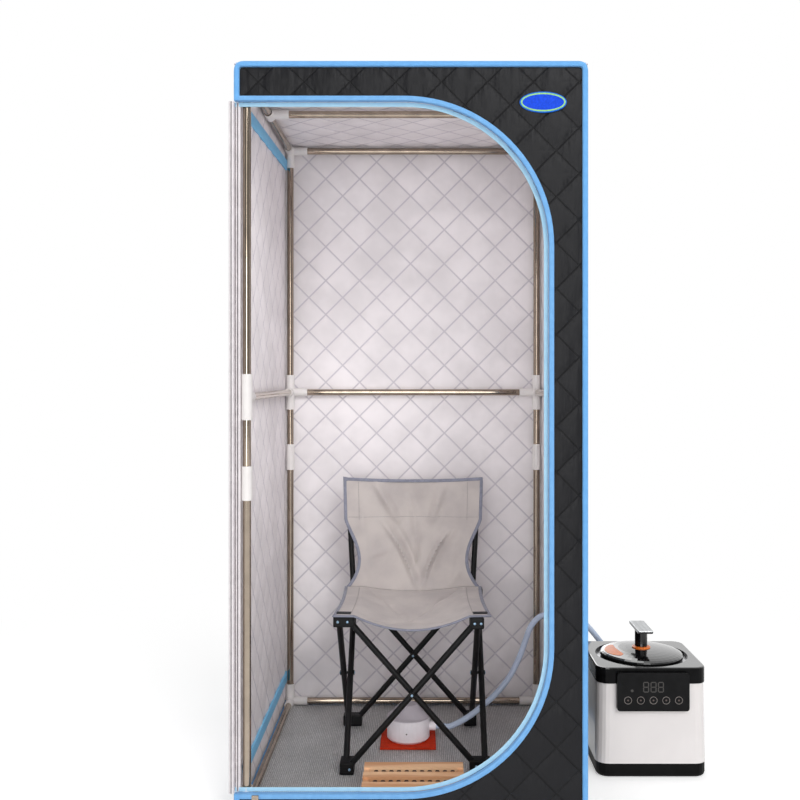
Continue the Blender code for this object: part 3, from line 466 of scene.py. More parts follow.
def make_zip():
    """The zip round the doorway: a folded blue edge on the panel, a pale zip tape behind it, and the flap's own edges."""
    panel_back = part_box("front_panel")[1].y
    depth = panel_back - FRONT + 0.003
    edge = rounded_section(ZIP_TAPE, depth, 0.002, 0.0015 - depth / 2)
    outline = doorway_outline(MAT_LOW.x, 0.0015 - ZIP_TAPE / 2)
    sweep("doorway_edge", [(x, FRONT, z) for x, z in outline], (0, -1, 0), edge, "cabin", ZIP_BLUE)
    tape = rounded_section(ZIP_EDGE, 0.0018, 0.0008)
    outline = doorway_outline(MAT_LOW.x, 0.0018 + ZIP_EDGE / 2)
    sweep("zip_tape", [(x, panel_back + 0.0014, z) for x, z in outline], (0, -1, 0), tape, "cabin", ZIP_PALE)
    reach = FLAP_HIGH.y - DOOR_RIGHT + DOOR_CLEARANCE
    flap_edge = rounded_section(0.011, FLAP_HIGH.x - FLAP_LOW.x, 0.003)
    middle = (FLAP_LOW.x + FLAP_HIGH.x) / 2
    outline = doorway_outline(FLAP_LOW.y - reach + 0.02, DOOR_CLEARANCE + 0.005)
    sweep("flap_edge", [(middle, x + reach, z) for x, z in outline], (-1, 0, 0), flap_edge, "door", ZIP_BLUE)
    heights = [FLAP_LOW.z + (FLAP_HIGH.z - FLAP_LOW.z) * i / 4 for i in range(5)]
    for name, node, body in (("flap_fold", "door_flap", "door"), ("wall_fold", "left_wall", "cabin")):
        low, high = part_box(node)
        fold = rounded_section(high.x - low.x, FOLD_DEPTH, 0.004, -FOLD_DEPTH / 2)
        sweep(name, [((low.x + high.x) / 2, low.y, z) for z in heights], (0, -1, 0), fold, body, FOLD)


def make_wall_tapes():
    """Two flat blue tapes sewn along the inside of the left wall."""
    section = rounded_section(WALL_TAPE, 0.006, 0.001, 0.0004)
    for name, front_z, back_z in (("upper", 1.625, 1.652), ("lower", 0.092, 0.096)):
        path = [(WALL_INNER, y, front_z + (back_z - front_z) * (y + 0.37) / 0.74) for y in (-0.345, 0.0, 0.37)]
        sweep(name + "_wall_tape", path, (1, 0, 0), section, "cabin", LINER_BLUE)


PATCH_CENTRE = (0.2989, 1.6271)
PATCH_SIZE = (0.1063, 0.0475)


def make_patch():
    """A plain oval patch on the front panel, with a thin pale ring and a blue border."""
    blue = Finish("patch_blue", rgb(20, 72, 214), 0.5, Specular_IOR_Level=0.12)
    blue = blue.mottle(220.0, 0.12).bump_noise(900.0, 0.0003).material
    ring = Finish("patch_ring", rgb(150, 206, 122), 0.5, Specular_IOR_Level=0.2).mottle(300.0, 0.1).material
    border = Finish("patch_border", rgb(22, 104, 208), 0.5, Specular_IOR_Level=0.12).mottle(300.0, 0.1).material
    steps = 64
    # Loops from the middle out: share of the oval, inset from its edge, stand over the panel, band's colour
    loops = [(share, 0.0060, 0.0020 - 0.0008 * share, 0) for share in (0.002, 0.35, 0.7, 1.0)]
    loops += [(1.0, 0.0054, 0.0014, 1), (1.0, 0.0026, 0.0013, 1), (1.0, 0.0022, 0.0011, 2)]
    loops += [(1.0, 0.0, 0.0007, 2), (1.0, 0.0, -0.0020, 2)]
    bm = bmesh.new()
    rings = []
    for share, inset, stand, _ in loops:
        spots = []
        for i in range(steps):
            angle = 2 * math.pi * i / steps
            x = PATCH_CENTRE[0] + share * (PATCH_SIZE[0] / 2 - inset) * math.cos(angle)
            z = PATCH_CENTRE[1] + share * (PATCH_SIZE[1] / 2 - inset) * math.sin(angle)
            spots.append(bm.verts.new((x, FRONT - stand, z)))
        rings.append(spots)
    for k in range(len(rings) - 1):
        for i in range(steps):
            face = bm.faces.new((rings[k][i - 1], rings[k][i], rings[k + 1][i], rings[k + 1][i - 1]))
            face.material_index = loops[k + 1][3]
    bm.faces.new(rings[0])
    bm.faces.new(rings[-1]).material_index = 2
    piece("oval_patch", from_bmesh("oval_patch", bm), "cabin", blue, ring, border)


POLE_CENTRE = tuple((a + b) / 2 for a, b in zip(*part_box("mid_bar_back")))
POLE_X = abs(sum(p.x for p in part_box("mid_bar_left")) / 2)
POLE_Y = POLE_CENTRE[1]
RAIL_HIGH = sum(p.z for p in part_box("top_bar_back")) / 2
SLEEVE_FROM = 0.0108
STEEL_COLOUR = rgb(176, 162, 146)
PLASTIC_COLOUR = rgb(236, 232, 230)


def line_offsets(made, spots):
    """How far a surface stands off a tube's line, and off its mirror images, along two axes."""
    place = made.node("ShaderNodeSeparateXYZ", {0: made.node("ShaderNodeTexCoord").outputs["Object"]}).outputs
    offsets = {}
    for axis, centre in spots:
        off = made.math("SUBTRACT", made.math("ABSOLUTE", place[axis]), centre)
        offsets[axis] = made.math("MULTIPLY", off, made.math("SIGN", place[axis]))
    return offsets


def round_shading(made, offsets, share=1.0):
    """Shades a share of a many-sided tube as a round one."""
    out = made.node("ShaderNodeCombineXYZ", offsets).outputs[0]
    out = made.node("ShaderNodeVectorTransform", {0: out}, vector_type="NORMAL",
                    convert_from="OBJECT", convert_to="WORLD").outputs[0]
    flat = made.node("ShaderNodeNewGeometry").outputs["Normal"]
    made.set("Normal", made.node("ShaderNodeMix", {0: share, 4: flat, 5: out}, data_type="VECTOR").outputs[1])


def steel_finish(name, spots):
    """Bright tube along a line that two axes fix."""
    made = Finish(name, STEEL_COLOUR, 0.2, Metallic=1.0).mottle(30.0, 0.12)
    made.set("Roughness", made.span(made.noise(55.0), 0.3, 0.7, 0.07, 0.15))
    round_shading(made, line_offsets(made, spots))
    return made.bump_noise(120.0, 0.00003).material


def sleeved_finish(name, spots):
    """Bright tube with white connector sleeves: white wherever the surface stands off the tube's own line."""
    made = Finish(name, STEEL_COLOUR, 0.2)
    offsets = line_offsets(made, spots)
    squares = [made.math("MULTIPLY", off, off) for off in offsets.values()]
    sleeve = made.math("GREATER_THAN", made.math("ADD", *squares), SLEEVE_FROM ** 2)
    wear = made.span(made.noise(30.0), 0.3, 0.7)
    bright = made.mix(wear, tuple(0.88 * c for c in STEEL_COLOUR), STEEL_COLOUR)
    cast = made.mix(wear, tuple(0.95 * c for c in PLASTIC_COLOUR), PLASTIC_COLOUR)
    made.set("Base Color", made.mix(sleeve, bright, cast))
    tube = made.math("SUBTRACT", 1.0, sleeve)
    made.set("Metallic", tube)
    round_shading(made, offsets, tube)
    made.set("Roughness", made.math("MULTIPLY_ADD", sleeve, 0.32, 0.1))
    return made.bump_noise(120.0, 0.00003).material


def dress(node, finish):
    """Gives a carried-over solid its finish and smooth shading."""
    made = nodes[node]
    made.data.materials.clear()
    made.data.materials.append(finish)
    made.data.shade_smooth()
    made.data.set_sharp_from_angle(angle=math.radians(38))
    return made


def make_frame_finishes():
    upright = sleeved_finish("upright_steel", ((0, POLE_X), (1, POLE_Y)))
    rail = sleeved_finish("rail_steel", ((0, POLE_X), (2, RAIL_HIGH)))
    plastic = Finish("white_plastic", PLASTIC_COLOUR, 0.42).mottle(25.0, 0.04).bump_noise(500.0, 0.00015).material
    for node in nodes:
        if node.startswith("upright_"):
            dress(node, upright)
        elif node in ("top_bar_left", "top_bar_right"):
            dress(node, rail)
        elif "_bar_" in node:
            low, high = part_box(node)
            across = sorted(range(3), key=lambda axis: high[axis] - low[axis])[:2]
            dress(node, steel_finish(node + "_steel", [(axis, abs(low[axis] + high[axis]) / 2) for axis in across]))
        elif node.startswith("top_corner_") or node == "hose_port":
            dress(node, plastic)
    slider = Finish("slider_metal", STEEL_COLOUR, 0.25, Metallic=1.0).mottle(60.0, 0.12)
    dress("zip_slider", slider.bump_noise(300.0, 0.00004).material)


RIB = 0.005
RIB_DEPTH = 0.0014


def make_floor_mat():
    """A knitted grey mat with fine ribs that run from front to back, and painted shade that darkens the furrows between
    the ribs.
    """
    made = Finish("floor_mat", rgb(176, 175, 174), 0.42, Metallic=0.15)
    flecks = made.span(made.noise(420.0, 2.0, stretch=(1.0, 0.22, 1.0)), 0.35, 0.65)
    broad = made.span(made.noise(6.0), 0.3, 0.7)
    tone = made.mix(broad, rgb(204, 203, 203), rgb(226, 225, 225))
    worn = made.mix(made.math("MULTIPLY", flecks, 0.35), tone, rgb(118, 118, 118))
    place = made.node("ShaderNodeSeparateXYZ", {0: made.node("ShaderNodeTexCoord").outputs["Object"]}).outputs
    # Painted shade: a darker grey in the furrows between the ribs
    furrow_shade = made.span(made.math("PINGPONG", place[0], RIB / 2), 0.2 * RIB, 0.5 * RIB, 0.0, 0.7)
    made.set("Base Color", made.mix(furrow_shade, worn, rgb(112, 112, 114)))
    made.bump(made.noise(420.0, 2.0, stretch=(1.0, 0.22, 1.0)), 0.0012)
    count = round((MAT_HIGH.x - MAT_LOW.x) / RIB) * 4
    bm = bmesh.new()
    rows = []
    lines = [MAT_LOW.y + (MAT_HIGH.y - MAT_LOW.y) * j / 4 for j in range(5)]
    for y in lines:
        row = []
        for i in range(count + 1):
            x = MAT_LOW.x + (MAT_HIGH.x - MAT_LOW.x) * i / count
            sunk = RIB_DEPTH / 2 * (1 - math.cos(2 * math.pi * i / 4))
            row.append(bm.verts.new((x, y, MAT_HIGH.z - sunk)))
        rows.append(row)
    for lower, upper in zip(rows, rows[1:]):
        for i in range(count):
            bm.faces.new((lower[i], lower[i + 1], upper[i + 1], upper[i]))
    skirt = bmesh.ops.extrude_face_region(bm, geom=list(bm.faces))["geom"]
    for vert in (v for v in skirt if isinstance(v, bmesh.types.BMVert)):
        vert.co.z = MAT_LOW.z
    made = piece("ribbed_mat", from_bmesh("ribbed_mat", bm), "cabin", made.material)
    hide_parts("floor_mat")


CLOTH = 0.0022
SLING = 0.003
SAG_SPAN = 0.74
SEAT_HALF = 0.196
SEAT_WAIST = 0.006
SEAT_DROOP = 0.055
REAR_SAG = 0.012
BACK_LEAN = 0.050
BACK_TAPER = 0.012
BACK_WAIST = 0.036
WAIST_SPAN = 0.62
BACK_SEAM = 0.645
BACK_BELLY = 0.026
HEM = 0.0095


def canvas_finish():
    made = Finish("grey_canvas", rgb(186, 178, 175), 0.75, Sheen_Weight=0.25)
    weave = made.noise(1500.0, 1.0)
    drift = made.span(made.noise(14.0), 0.3, 0.7)
    made.set("Base Color", made.mix(drift, rgb(179, 171, 169), rgb(193, 185, 181)))
    made.bump(made.noise(24.0, 3.0), 0.002)
    return made.bump(weave, 0.0003, 0.6)


def crease(u, v, lines):
    """Sum of the folds near a point of the cloth: each line has two ends, a depth and a width."""
    total = 0.0
    here = Vector((u, v))
    for start, end, depth, width in lines:
        start, end = Vector(start), Vector(end)
        run = end - start
        share = max(0.0, min(1.0, (here - start).dot(run) / run.length_squared))
        off = (here - start - run * share).length
        total += depth * math.exp(-(off / width) ** 2) * math.sin(math.pi * (0.12 + 0.76 * share))
    return total


def cloth(name, point, columns, rows, body, finish):
    """A thin sheet on a grid of points, with its own thickness."""
    bm = bmesh.new()
    grid = [[bm.verts.new(point(i / columns, j / rows)) for i in range(columns + 1)] for j in range(rows + 1)]
    for lower, upper in zip(grid, grid[1:]):
        for i in range(columns):
            bm.faces.new((lower[i], lower[i + 1], upper[i + 1], upper[i]))
    made = piece(name, from_bmesh(name, bm), body, finish)
    thick = made.modifiers.new("cloth", "SOLIDIFY")
    thick.thickness = CLOTH
    thick.offset = 0.0
    return made


def make_chair():
    seat_low, seat_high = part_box("chair_seat")
    back_low, back_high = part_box("chair_back")
    x0 = (seat_low.x + seat_high.x) / 2
    rest = seat_high.z - SLING
    top = seat_high.z - CLOTH / 2
    canvas = canvas_finish().material
    hem = Finish("canvas_hem", rgb(130, 132, 147), 0.7, Sheen_Weight=0.2).mottle(90.0, 0.1)
    hem = hem.bump_noise(1100.0, 0.0005, detail=1.0).material
    thread = Finish("canvas_thread", rgb(164, 158, 157), 0.7).mottle(400.0, 0.12).material
    seat_folds = (((0.16, 0.96), (0.48, 0.33), -0.009, 0.024), ((0.84, 0.96), (0.48, 0.33), -0.009, 0.024),
                  ((0.19, 0.07), (0.48, 0.33), -0.007, 0.024), ((0.83, 0.07), (0.48, 0.33), -0.007, 0.024),
                  ((0.20, 0.66), (0.40, 0.62), 0.006, 0.05), ((0.80, 0.66), (0.60, 0.62), 0.006, 0.05))
    back_folds = (((0.23, 0.96), (0.38, 0.62), 0.018, 0.030), ((0.26, 0.62), (0.55, 0.02), 0.016, 0.022),
                  ((0.71, 0.93), (0.64, 0.61), 0.016, 0.030), ((0.78, 0.50), (0.56, 0.02), 0.014, 0.020),
                  ((0.55, 0.48), (0.54, 0.20), 0.010, 0.018), ((0.10, 0.29), (0.26, 0.34), 0.006, 0.020),
                  ((0.34, 0.62), (0.58, 0.10), -0.009, 0.028), ((0.86, 0.58), (0.64, 0.12), -0.009, 0.030),
                  ((0.47, 0.86), (0.54, 0.44), 0.009, 0.022), ((0.50, 0.95), (0.52, 0.62), -0.006, 0.060),
                  ((0.80, 0.04), (0.92, 0.16), 0.007, 0.022), ((0.08, 0.52), (0.14, 0.66), 0.008, 0.026))

    def slack(across):
        return max(0.0, 1 - (across / SAG_SPAN) ** 2)

    def seat(u, v):
        across = 2 * u - 1
        wide = SEAT_HALF - SEAT_WAIST * math.sin(math.pi * v) - 0.004 * v
        droop = SEAT_DROOP * (0.63 + 0.37 * math.sin(math.pi * v)) * (1 - v) + REAR_SAG * v
        y = seat_low.y + (seat_high.y - seat_low.y) * v + 0.006 * across ** 2 * (1 - v) - 0.004 * (1 - v)
        return x0 + across * wide, y, top - droop * slack(across) + crease(u, v, seat_folds) * (1 - across ** 4)

    def back(u, v):
        across = 2 * u - 1
        waist = BACK_WAIST * math.sin(math.pi * min(1.0, v / WAIST_SPAN) ** 0.8) ** 1.15
        wide = (back_high.x - back_low.x) / 2 - BACK_TAPER * (1 - v) - waist
        belly = BACK_BELLY * slack(across) * math.sin(math.pi * v) ** 0.8
        sunk = REAR_SAG * slack(across) * (1 - v) ** 2 + 0.006 * (1 - across ** 2) * v ** 6
        y = back_low.y + SLING / 2 + BACK_LEAN * v + belly - crease(u, v, back_folds) * (1 - across ** 4)
        return x0 + across * wide, y, rest + (back_high.z - CLOTH - rest) * v - sunk

    for name, node, point, flat in (("seat_cloth", "chair_seat", seat, (0.40, 0.36)),
                                    ("back_cloth", "chair_back", back, (0.41, 0.36))):
        made = cloth(name, point, 64, 60, "chair", canvas)
        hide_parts(node)
    section = rounded_section(HEM, 0.0048, 0.0020)
    steps = 40
    seat_edge = [seat(0.0, 1 - i / steps) for i in range(steps)] + [seat(i / steps, 0.0) for i in range(steps)]
    seat_edge += [seat(1.0, i / steps) for i in range(steps + 1)]
    sweep("seat_hem", seat_edge, (0, 0, 1), section, "chair", hem)
    back_edge = [back(0.0, i / steps) for i in range(steps)] + [back(i / steps, 1.0) for i in range(steps)]
    back_edge += [back(1.0, 1 - i / steps) for i in range(steps + 1)]
    sweep("back_hem", back_edge, (0, -1, 0.15), section, "chair", hem)
    line = rounded_section(0.0016, 0.0018, 0.0006)
    path = [Vector(back(0.02 + 0.96 * i / steps, BACK_SEAM)) - Vector((0, CLOTH / 2, 0)) for i in range(steps + 1)]
    sweep("back_seam", path, (0, -1, 0.15), line, "chair", thread)
    for k, u in enumerate((0.10, 0.90)):
        path = [Vector(seat(u, 0.05 + 0.9 * i / steps)) + Vector((0, 0, CLOTH / 2)) for i in range(steps + 1)]
        sweep(f"seat_seam_{k + 1}", path, (0, 0, 1), line, "chair", thread)
        path = [Vector(back(u, 0.62 + 0.36 * i / steps)) - Vector((0, CLOTH / 2, 0)) for i in range(steps + 1)]
        sweep(f"sleeve_seam_{k + 1}", path, (0, -1, 0.15), line, "chair", thread)
    make_chair_frame(seat)


def disc(bm, centre, normal, radius, height, sides=16):
    """A low domed disc in a bmesh, standing out along a normal."""
    centre, normal = Vector(centre), Vector(normal).normalized()
    first = normal.orthogonal().normalized()
    second = normal.cross(first)
    rings = []
    for share, rise in ((1.0, -0.3), (1.0, 0.45), (0.82, 0.85), (0.4, 1.0)):
        rings.append([bm.verts.new(centre + normal * height * rise + radius * share * (
            first * math.cos(2 * math.pi * i / sides) + second * math.sin(2 * math.pi * i / sides)))
            for i in range(sides)])
    for lower, upper in zip(rings, rings[1:]):
        for i in range(sides):
            bm.faces.new((lower[i - 1], lower[i], upper[i], upper[i - 1]))
    bm.faces.new(rings[0])
    bm.faces.new(rings[-1])


SCREW_RADIUS = 0.0035
SCREW_HEAD = 0.002
SCREW_RISE = 0.014


def make_chair_frame(seat):
    tube = Finish("chair_tube", rgb(16, 16, 17), 0.4, Specular_IOR_Level=0.25).mottle(40.0, 0.25)
    tube = tube.bump_noise(900.0, 0.00012).material
    joint = Finish("chair_joint", rgb(18, 18, 19), 0.5, Specular_IOR_Level=0.2).mottle(60.0, 0.2)
    joint = joint.bump_noise(700.0, 0.0003).material
    screw = Finish("screw_blue", rgb(150, 180, 205), 0.3, Metallic=0.8).mottle(300.0, 0.1).material
    strap = Finish("black_strap", rgb(40, 40, 43), 0.7).mottle(300.0, 0.2).bump_noise(1400.0, 0.0006).material
    bm = bmesh.new()
    for node in nodes:
        if node.startswith("chair_") and node.endswith("_tube"):
            dress(node, tube)
            if "_outer_" in node:
                low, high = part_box(node)
                axis = 1 if "_front_" in node or "_back_" in node else 0
                for face, way in ((low, -1), (high, 1)):
                    head, normal = (low + high) / 2, Vector((0, 0, 0))
                    head[axis], normal[axis] = face[axis], way
                    disc(bm, head, normal, SCREW_RADIUS, SCREW_HEAD)
        elif node.startswith("chair_foot_") or node.startswith("chair_joint_"):
            dress(node, joint)
            low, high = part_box(node)
            front, left = "_front_" in node, node.endswith("left")
            shares = () if "_joint_back_" in node else (0.70,) if "_foot_" in node else (0.22, 0.68)
            for share in shares:
                x = low.x + share * (high.x - low.x) if left else high.x - share * (high.x - low.x)
                place = (x, low.y if front else high.y, low.z + SCREW_RISE)
                disc(bm, place, (0, -1 if front else 1, 0), SCREW_RADIUS, SCREW_HEAD)
    piece("chair_screws", from_bmesh("chair_screws", bm), "chair", screw)
    section = rounded_section(0.020, 0.003, 0.0012, 0.0018)
    for k, (start, end) in enumerate(((0.005, 0.10), (0.90, 0.995))):
        path = [seat(start + (end - start) * i / 8, 0.075) for i in range(9)]
        sweep(f"corner_strap_{k + 1}", path, (0, 0, 1), section, "chair", strap)


def ring(bm, centre, normal, radius, thickness, sides=32):
    """A thin round wire ring in a bmesh, lying on a face."""
    centre, normal = Vector(centre), Vector(normal).normalized()
    first = normal.orthogonal().normalized()
    second = normal.cross(first)
    loops = []
    for i in range(sides):
        angle = 2 * math.pi * i / sides
        out = first * math.cos(angle) + second * math.sin(angle)
        loops.append([bm.verts.new(centre + out * (radius + thickness * math.cos(a)) + normal * thickness * math.sin(a))
                      for a in (math.radians(60 * k) for k in range(6))])
    for i in range(sides):
        for k in range(6):
            bm.faces.new((loops[i - 1][k - 1], loops[i][k - 1], loops[i][k], loops[i - 1][k]))


KEY_COUNT = 5
KEY_PITCH = 0.0318
KEY_DROP = 0.0676
KEY_RADIUS = 0.0090
DIGIT = (0.0125, 0.0240)
DIGIT_PITCH = 0.0185
DIGIT_DROP = 0.0345
STROKE = 0.0026


def make_controls(low, high):
    """Ring keys and a dark three-digit display on the control panel's face."""
    x0 = (low.x + high.x) / 2
    face = low.y
    keys = Finish("key_ring", rgb(150, 142, 138), 0.4, Metallic=0.3).mottle(400.0, 0.1).material
    bm = bmesh.new()
    for i in range(KEY_COUNT):
        x = x0 + (i - (KEY_COUNT - 1) / 2) * KEY_PITCH
        ring(bm, (x, face, high.z - KEY_DROP), (0, -1, 0), KEY_RADIUS, 0.0006)
    piece("key_rings", from_bmesh("key_rings", bm), "cabin", keys)
    glow = Finish("key_dots", rgb(92, 78, 74), 0.4).mottle(400.0, 0.1).material
    bm = bmesh.new()
    for i in range(KEY_COUNT):
        x = x0 + (i - (KEY_COUNT - 1) / 2) * KEY_PITCH
        disc(bm, (x, face, high.z - KEY_DROP), (0, -1, 0), 0.0022, 0.0004)
    piece("key_dots", from_bmesh("key_dots", bm), "cabin", glow)
    dim = Finish("display_segments", rgb(58, 55, 53), 0.45).mottle(500.0, 0.1).material
    bm = bmesh.new()
    wide, tall = DIGIT[0] / 2, DIGIT[1] / 2
    strokes = [((-wide, s), (wide, s)) for s in (-tall, 0.0, tall)]
    strokes += [((side, low_end), (side, low_end + tall)) for side in (-wide, wide) for low_end in (-tall, 0.0)]
    for digit in (-1, 0, 1):
        for start, end in strokes:
            run = Vector((end[0] - start[0], 0, end[1] - start[1])).normalized()
            across = Vector((run.z, 0, -run.x)) * STROKE / 2
            origin = Vector((x0 + digit * DIGIT_PITCH, face, high.z - DIGIT_DROP))
            first = origin + Vector((start[0], 0, start[1])) + run * STROKE * 0.6
            last = origin + Vector((end[0], 0, end[1])) - run * STROKE * 0.6
            tip = run * STROKE / 2
            rim = [first - tip, first + across, last + across, last + tip, last - across, first - across]
            front = [bm.verts.new(p + Vector((0, -0.0004, 0))) for p in rim]
            rear = [bm.verts.new(p + Vector((0, 0.0003, 0))) for p in rim]
            bm.faces.new(front)
            bm.faces.new(rear)
            for i in range(6):
                bm.faces.new((front[i - 1], front[i], rear[i], rear[i - 1]))
    disc(bm, (x0 - 0.0535, face, high.z - 0.0435), (0, -1, 0), 0.0036, 0.0004)
    piece("display_digits", from_bmesh("display_digits", bm), "cabin", dim, smooth=False)


HANDLE_CAP = 0.0035


def make_pot():
    gloss = Finish("black_gloss", rgb(14, 14, 15), 0.12, Coat_Weight=0.8, Coat_Roughness=0.08).mottle(40.0, 0.25)
    gloss.set("Roughness", gloss.span(gloss.noise(70.0), 0.3, 0.7, 0.09, 0.17))
    gloss.bump_noise(6.0, 0.0008)
    satin = Finish("black_satin", rgb(10, 10, 10), 0.5, Specular_IOR_Level=0.1).mottle(40.0, 0.3)
    satin = satin.bump_noise(800.0, 0.0002).material
    white = Finish("white_gloss", rgb(226, 221, 220), 0.2, Coat_Weight=0.3).mottle(12.0, 0.02)
    white.bump_noise(5.0, 0.0006)
    orange = Finish("orange_mark", rgb(250, 128, 48), 0.35).mottle(80.0, 0.1).bump_noise(400.0, 0.0002).material
    tank = Finish("tank_steel", rgb(200, 200, 202), 0.25, Metallic=1.0).mottle(30.0, 0.1).bump_noise(500.0, 0.0001)
    # Painted reflection: gloss and coat rise on faces that point up, so the tops of the rim and lid read lighter than
    # their sides
    up = gloss.node("ShaderNodeSeparateXYZ", {0: gloss.node("ShaderNodeTexCoord").outputs["Normal"]}).outputs[2]
    gloss.set("Specular IOR Level", gloss.span(up, 0.1, 0.6, 0.08, 0.8))
    gloss.set("Coat Weight", gloss.span(up, 0.1, 0.6, 0.0, 0.9))
    panel = Finish("black_glass", rgb(20, 20, 21), 0.3, Specular_IOR_Level=0.1).mottle(40.0, 0.2)
    dress("control_panel", panel.bump_noise(6.0, 0.0008).material)
    for node in ("pot_rim", "pot_lid"):
        dress(node, gloss.material)
    dress("pot_base", satin)
    dress("pot_body", white.material)
    dress("pot_tank", tank.material)
    handle_low, handle_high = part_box("pot_handle")
    bar = handle_high.z - HANDLE_CAP
    grip = Finish("handle_metal", rgb(190, 192, 194), 0.3)
    height = grip.node("ShaderNodeSeparateXYZ", {0: grip.node("ShaderNodeTexCoord").outputs["Object"]}).outputs[2]
    silver = grip.math("GREATER_THAN", height, bar)
    brushed = grip.span(grip.noise(160.0, stretch=(1.0, 0.1, 1.0)), 0.3, 0.7)
    light = grip.mix(brushed, rgb(178, 180, 182), rgb(200, 202, 204))
    grip.set("Base Color", grip.mix(silver, rgb(18, 18, 19), light))
    grip.set("Roughness", grip.math("MULTIPLY_ADD", silver, 0.2, 0.15))
    grip.set("Metallic", grip.math("MULTIPLY", silver, 0.45))
    dress("pot_handle", grip.bump_noise(700.0, 0.0001).material)
    x, y = (handle_low.x + handle_high.x) / 2, (handle_low.y + handle_high.y) / 2
    bm = bmesh.new()
    disc(bm, (x, y, handle_low.z), (0, 0, 1), 0.024, 0.0036, sides=40)
    piece("handle_washer", from_bmesh("handle_washer", bm), "pot_lid", orange)
    lid_low, lid_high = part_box("pot_lid")
    make_lid_mark(x, y, (lid_high.x - lid_low.x) / 2, lid_high.z, orange)
    make_controls(*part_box("control_panel"))


LID_DOME = 0.016
MARK_SPAN = (152.0, 222.0)
MARK_SHARES = (0.62, 0.90)


def make_lid_mark(x, y, radius, crown, finish):
    """A curved orange mark that follows the lid's dome on its left side."""
    bm = bmesh.new()
    rows = []
    across, along = 8, 24
    for i in range(along + 1):
        t = i / along
        angle = math.radians(MARK_SPAN[0] + (MARK_SPAN[1] - MARK_SPAN[0]) * t)
        width = math.sin(math.pi * (0.04 + 0.92 * t)) ** 0.5
        middle, half = sum(MARK_SHARES) / 2, (MARK_SHARES[1] - MARK_SHARES[0]) / 2
        row = []
        for k in range(across + 1):
            share = middle + half * width * (2 * k / across - 1)
            lift = crown - LID_DOME * (1 - math.sqrt(1 - share ** 2)) + 0.0006
            row.append(bm.verts.new((x + radius * share * math.cos(angle), y + radius * share * math.sin(angle), lift)))
        rows.append(row)
    for first, second in zip(rows, rows[1:]):
        for k in range(across):
            bm.faces.new((first[k], first[k + 1], second[k + 1], second[k]))
    skirt = bmesh.ops.extrude_face_region(bm, geom=list(bm.faces))["geom"]
    for vert in (v for v in skirt if isinstance(v, bmesh.types.BMVert)):
        vert.co.z -= 0.001
    piece("lid_mark", from_bmesh("lid_mark", bm), "pot_lid", finish)


HOSE_RADIUS = 0.008
HOSE_ROUTE = [
    (0.5750, 0.1233, 0.2050), (0.5750, 0.1393, 0.2050), (0.5750, 0.1530, 0.2050), (0.5650, 0.1760, 0.2180),
    (0.5400, 0.1850, 0.2450), (0.5080, 0.1770, 0.2850), (0.4760, 0.1550, 0.3190), (0.4450, 0.1270, 0.3400),
    (0.4180, 0.1152, 0.3449), (0.3970, 0.1150, 0.3450), (0.3760, 0.1150, 0.3449), (0.3500, 0.1140, 0.3360),
    (0.3280, 0.1110, 0.3110), (0.3120, 0.1060, 0.2720), (0.2930, 0.1000, 0.2240), (0.2650, 0.0930, 0.1740),
    (0.2300, 0.0880, 0.1330), (0.1900, 0.0850, 0.0980), (0.1480, 0.0835, 0.0670), (0.1040, 0.0832, 0.0450),
    (0.0840, 0.0838, 0.0450), (0.0640, 0.0845, 0.0450),
]


def smooth_route(points, steps):
    """A smooth curve through the route's own points."""
    spots = [Vector(p) for p in points]
    ends = [spots[0] * 2 - spots[1], *spots, spots[-1] * 2 - spots[-2]]
    made = []
    for p0, p1, p2, p3 in zip(ends, ends[1:], ends[2:], ends[3:]):
        for i in range(steps):
            t = i / steps
            made.append(0.5 * (2 * p1 + (p2 - p0) * t + (2 * p0 - 5 * p1 + 4 * p2 - p3) * t * t
                               + (3 * p1 - p0 - 3 * p2 + p3) * t ** 3))
    return made + [spots[-1]]


def make_hose():
    made = Finish("clear_hose", rgb(206, 220, 244), 0.25, Transmission_Weight=0.15, IOR=1.4)
    made.mottle(18.0, 0.06).bump_noise(60.0, 0.0004)
    curve = bpy.data.curves.new("hose", "CURVE")
    curve.dimensions = "3D"
    curve.bevel_depth = HOSE_RADIUS
    curve.bevel_resolution = 6
    curve.use_fill_caps = True
    route = smooth_route(HOSE_ROUTE, 6)
    spline = curve.splines.new("POLY")
    spline.points.add(len(route) - 1)
    for point, spot in zip(spline.points, route):
        point.co = (*spot, 1.0)
    hose = piece("hose", curve, "cabin", made.material)
    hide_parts("steam_hose")


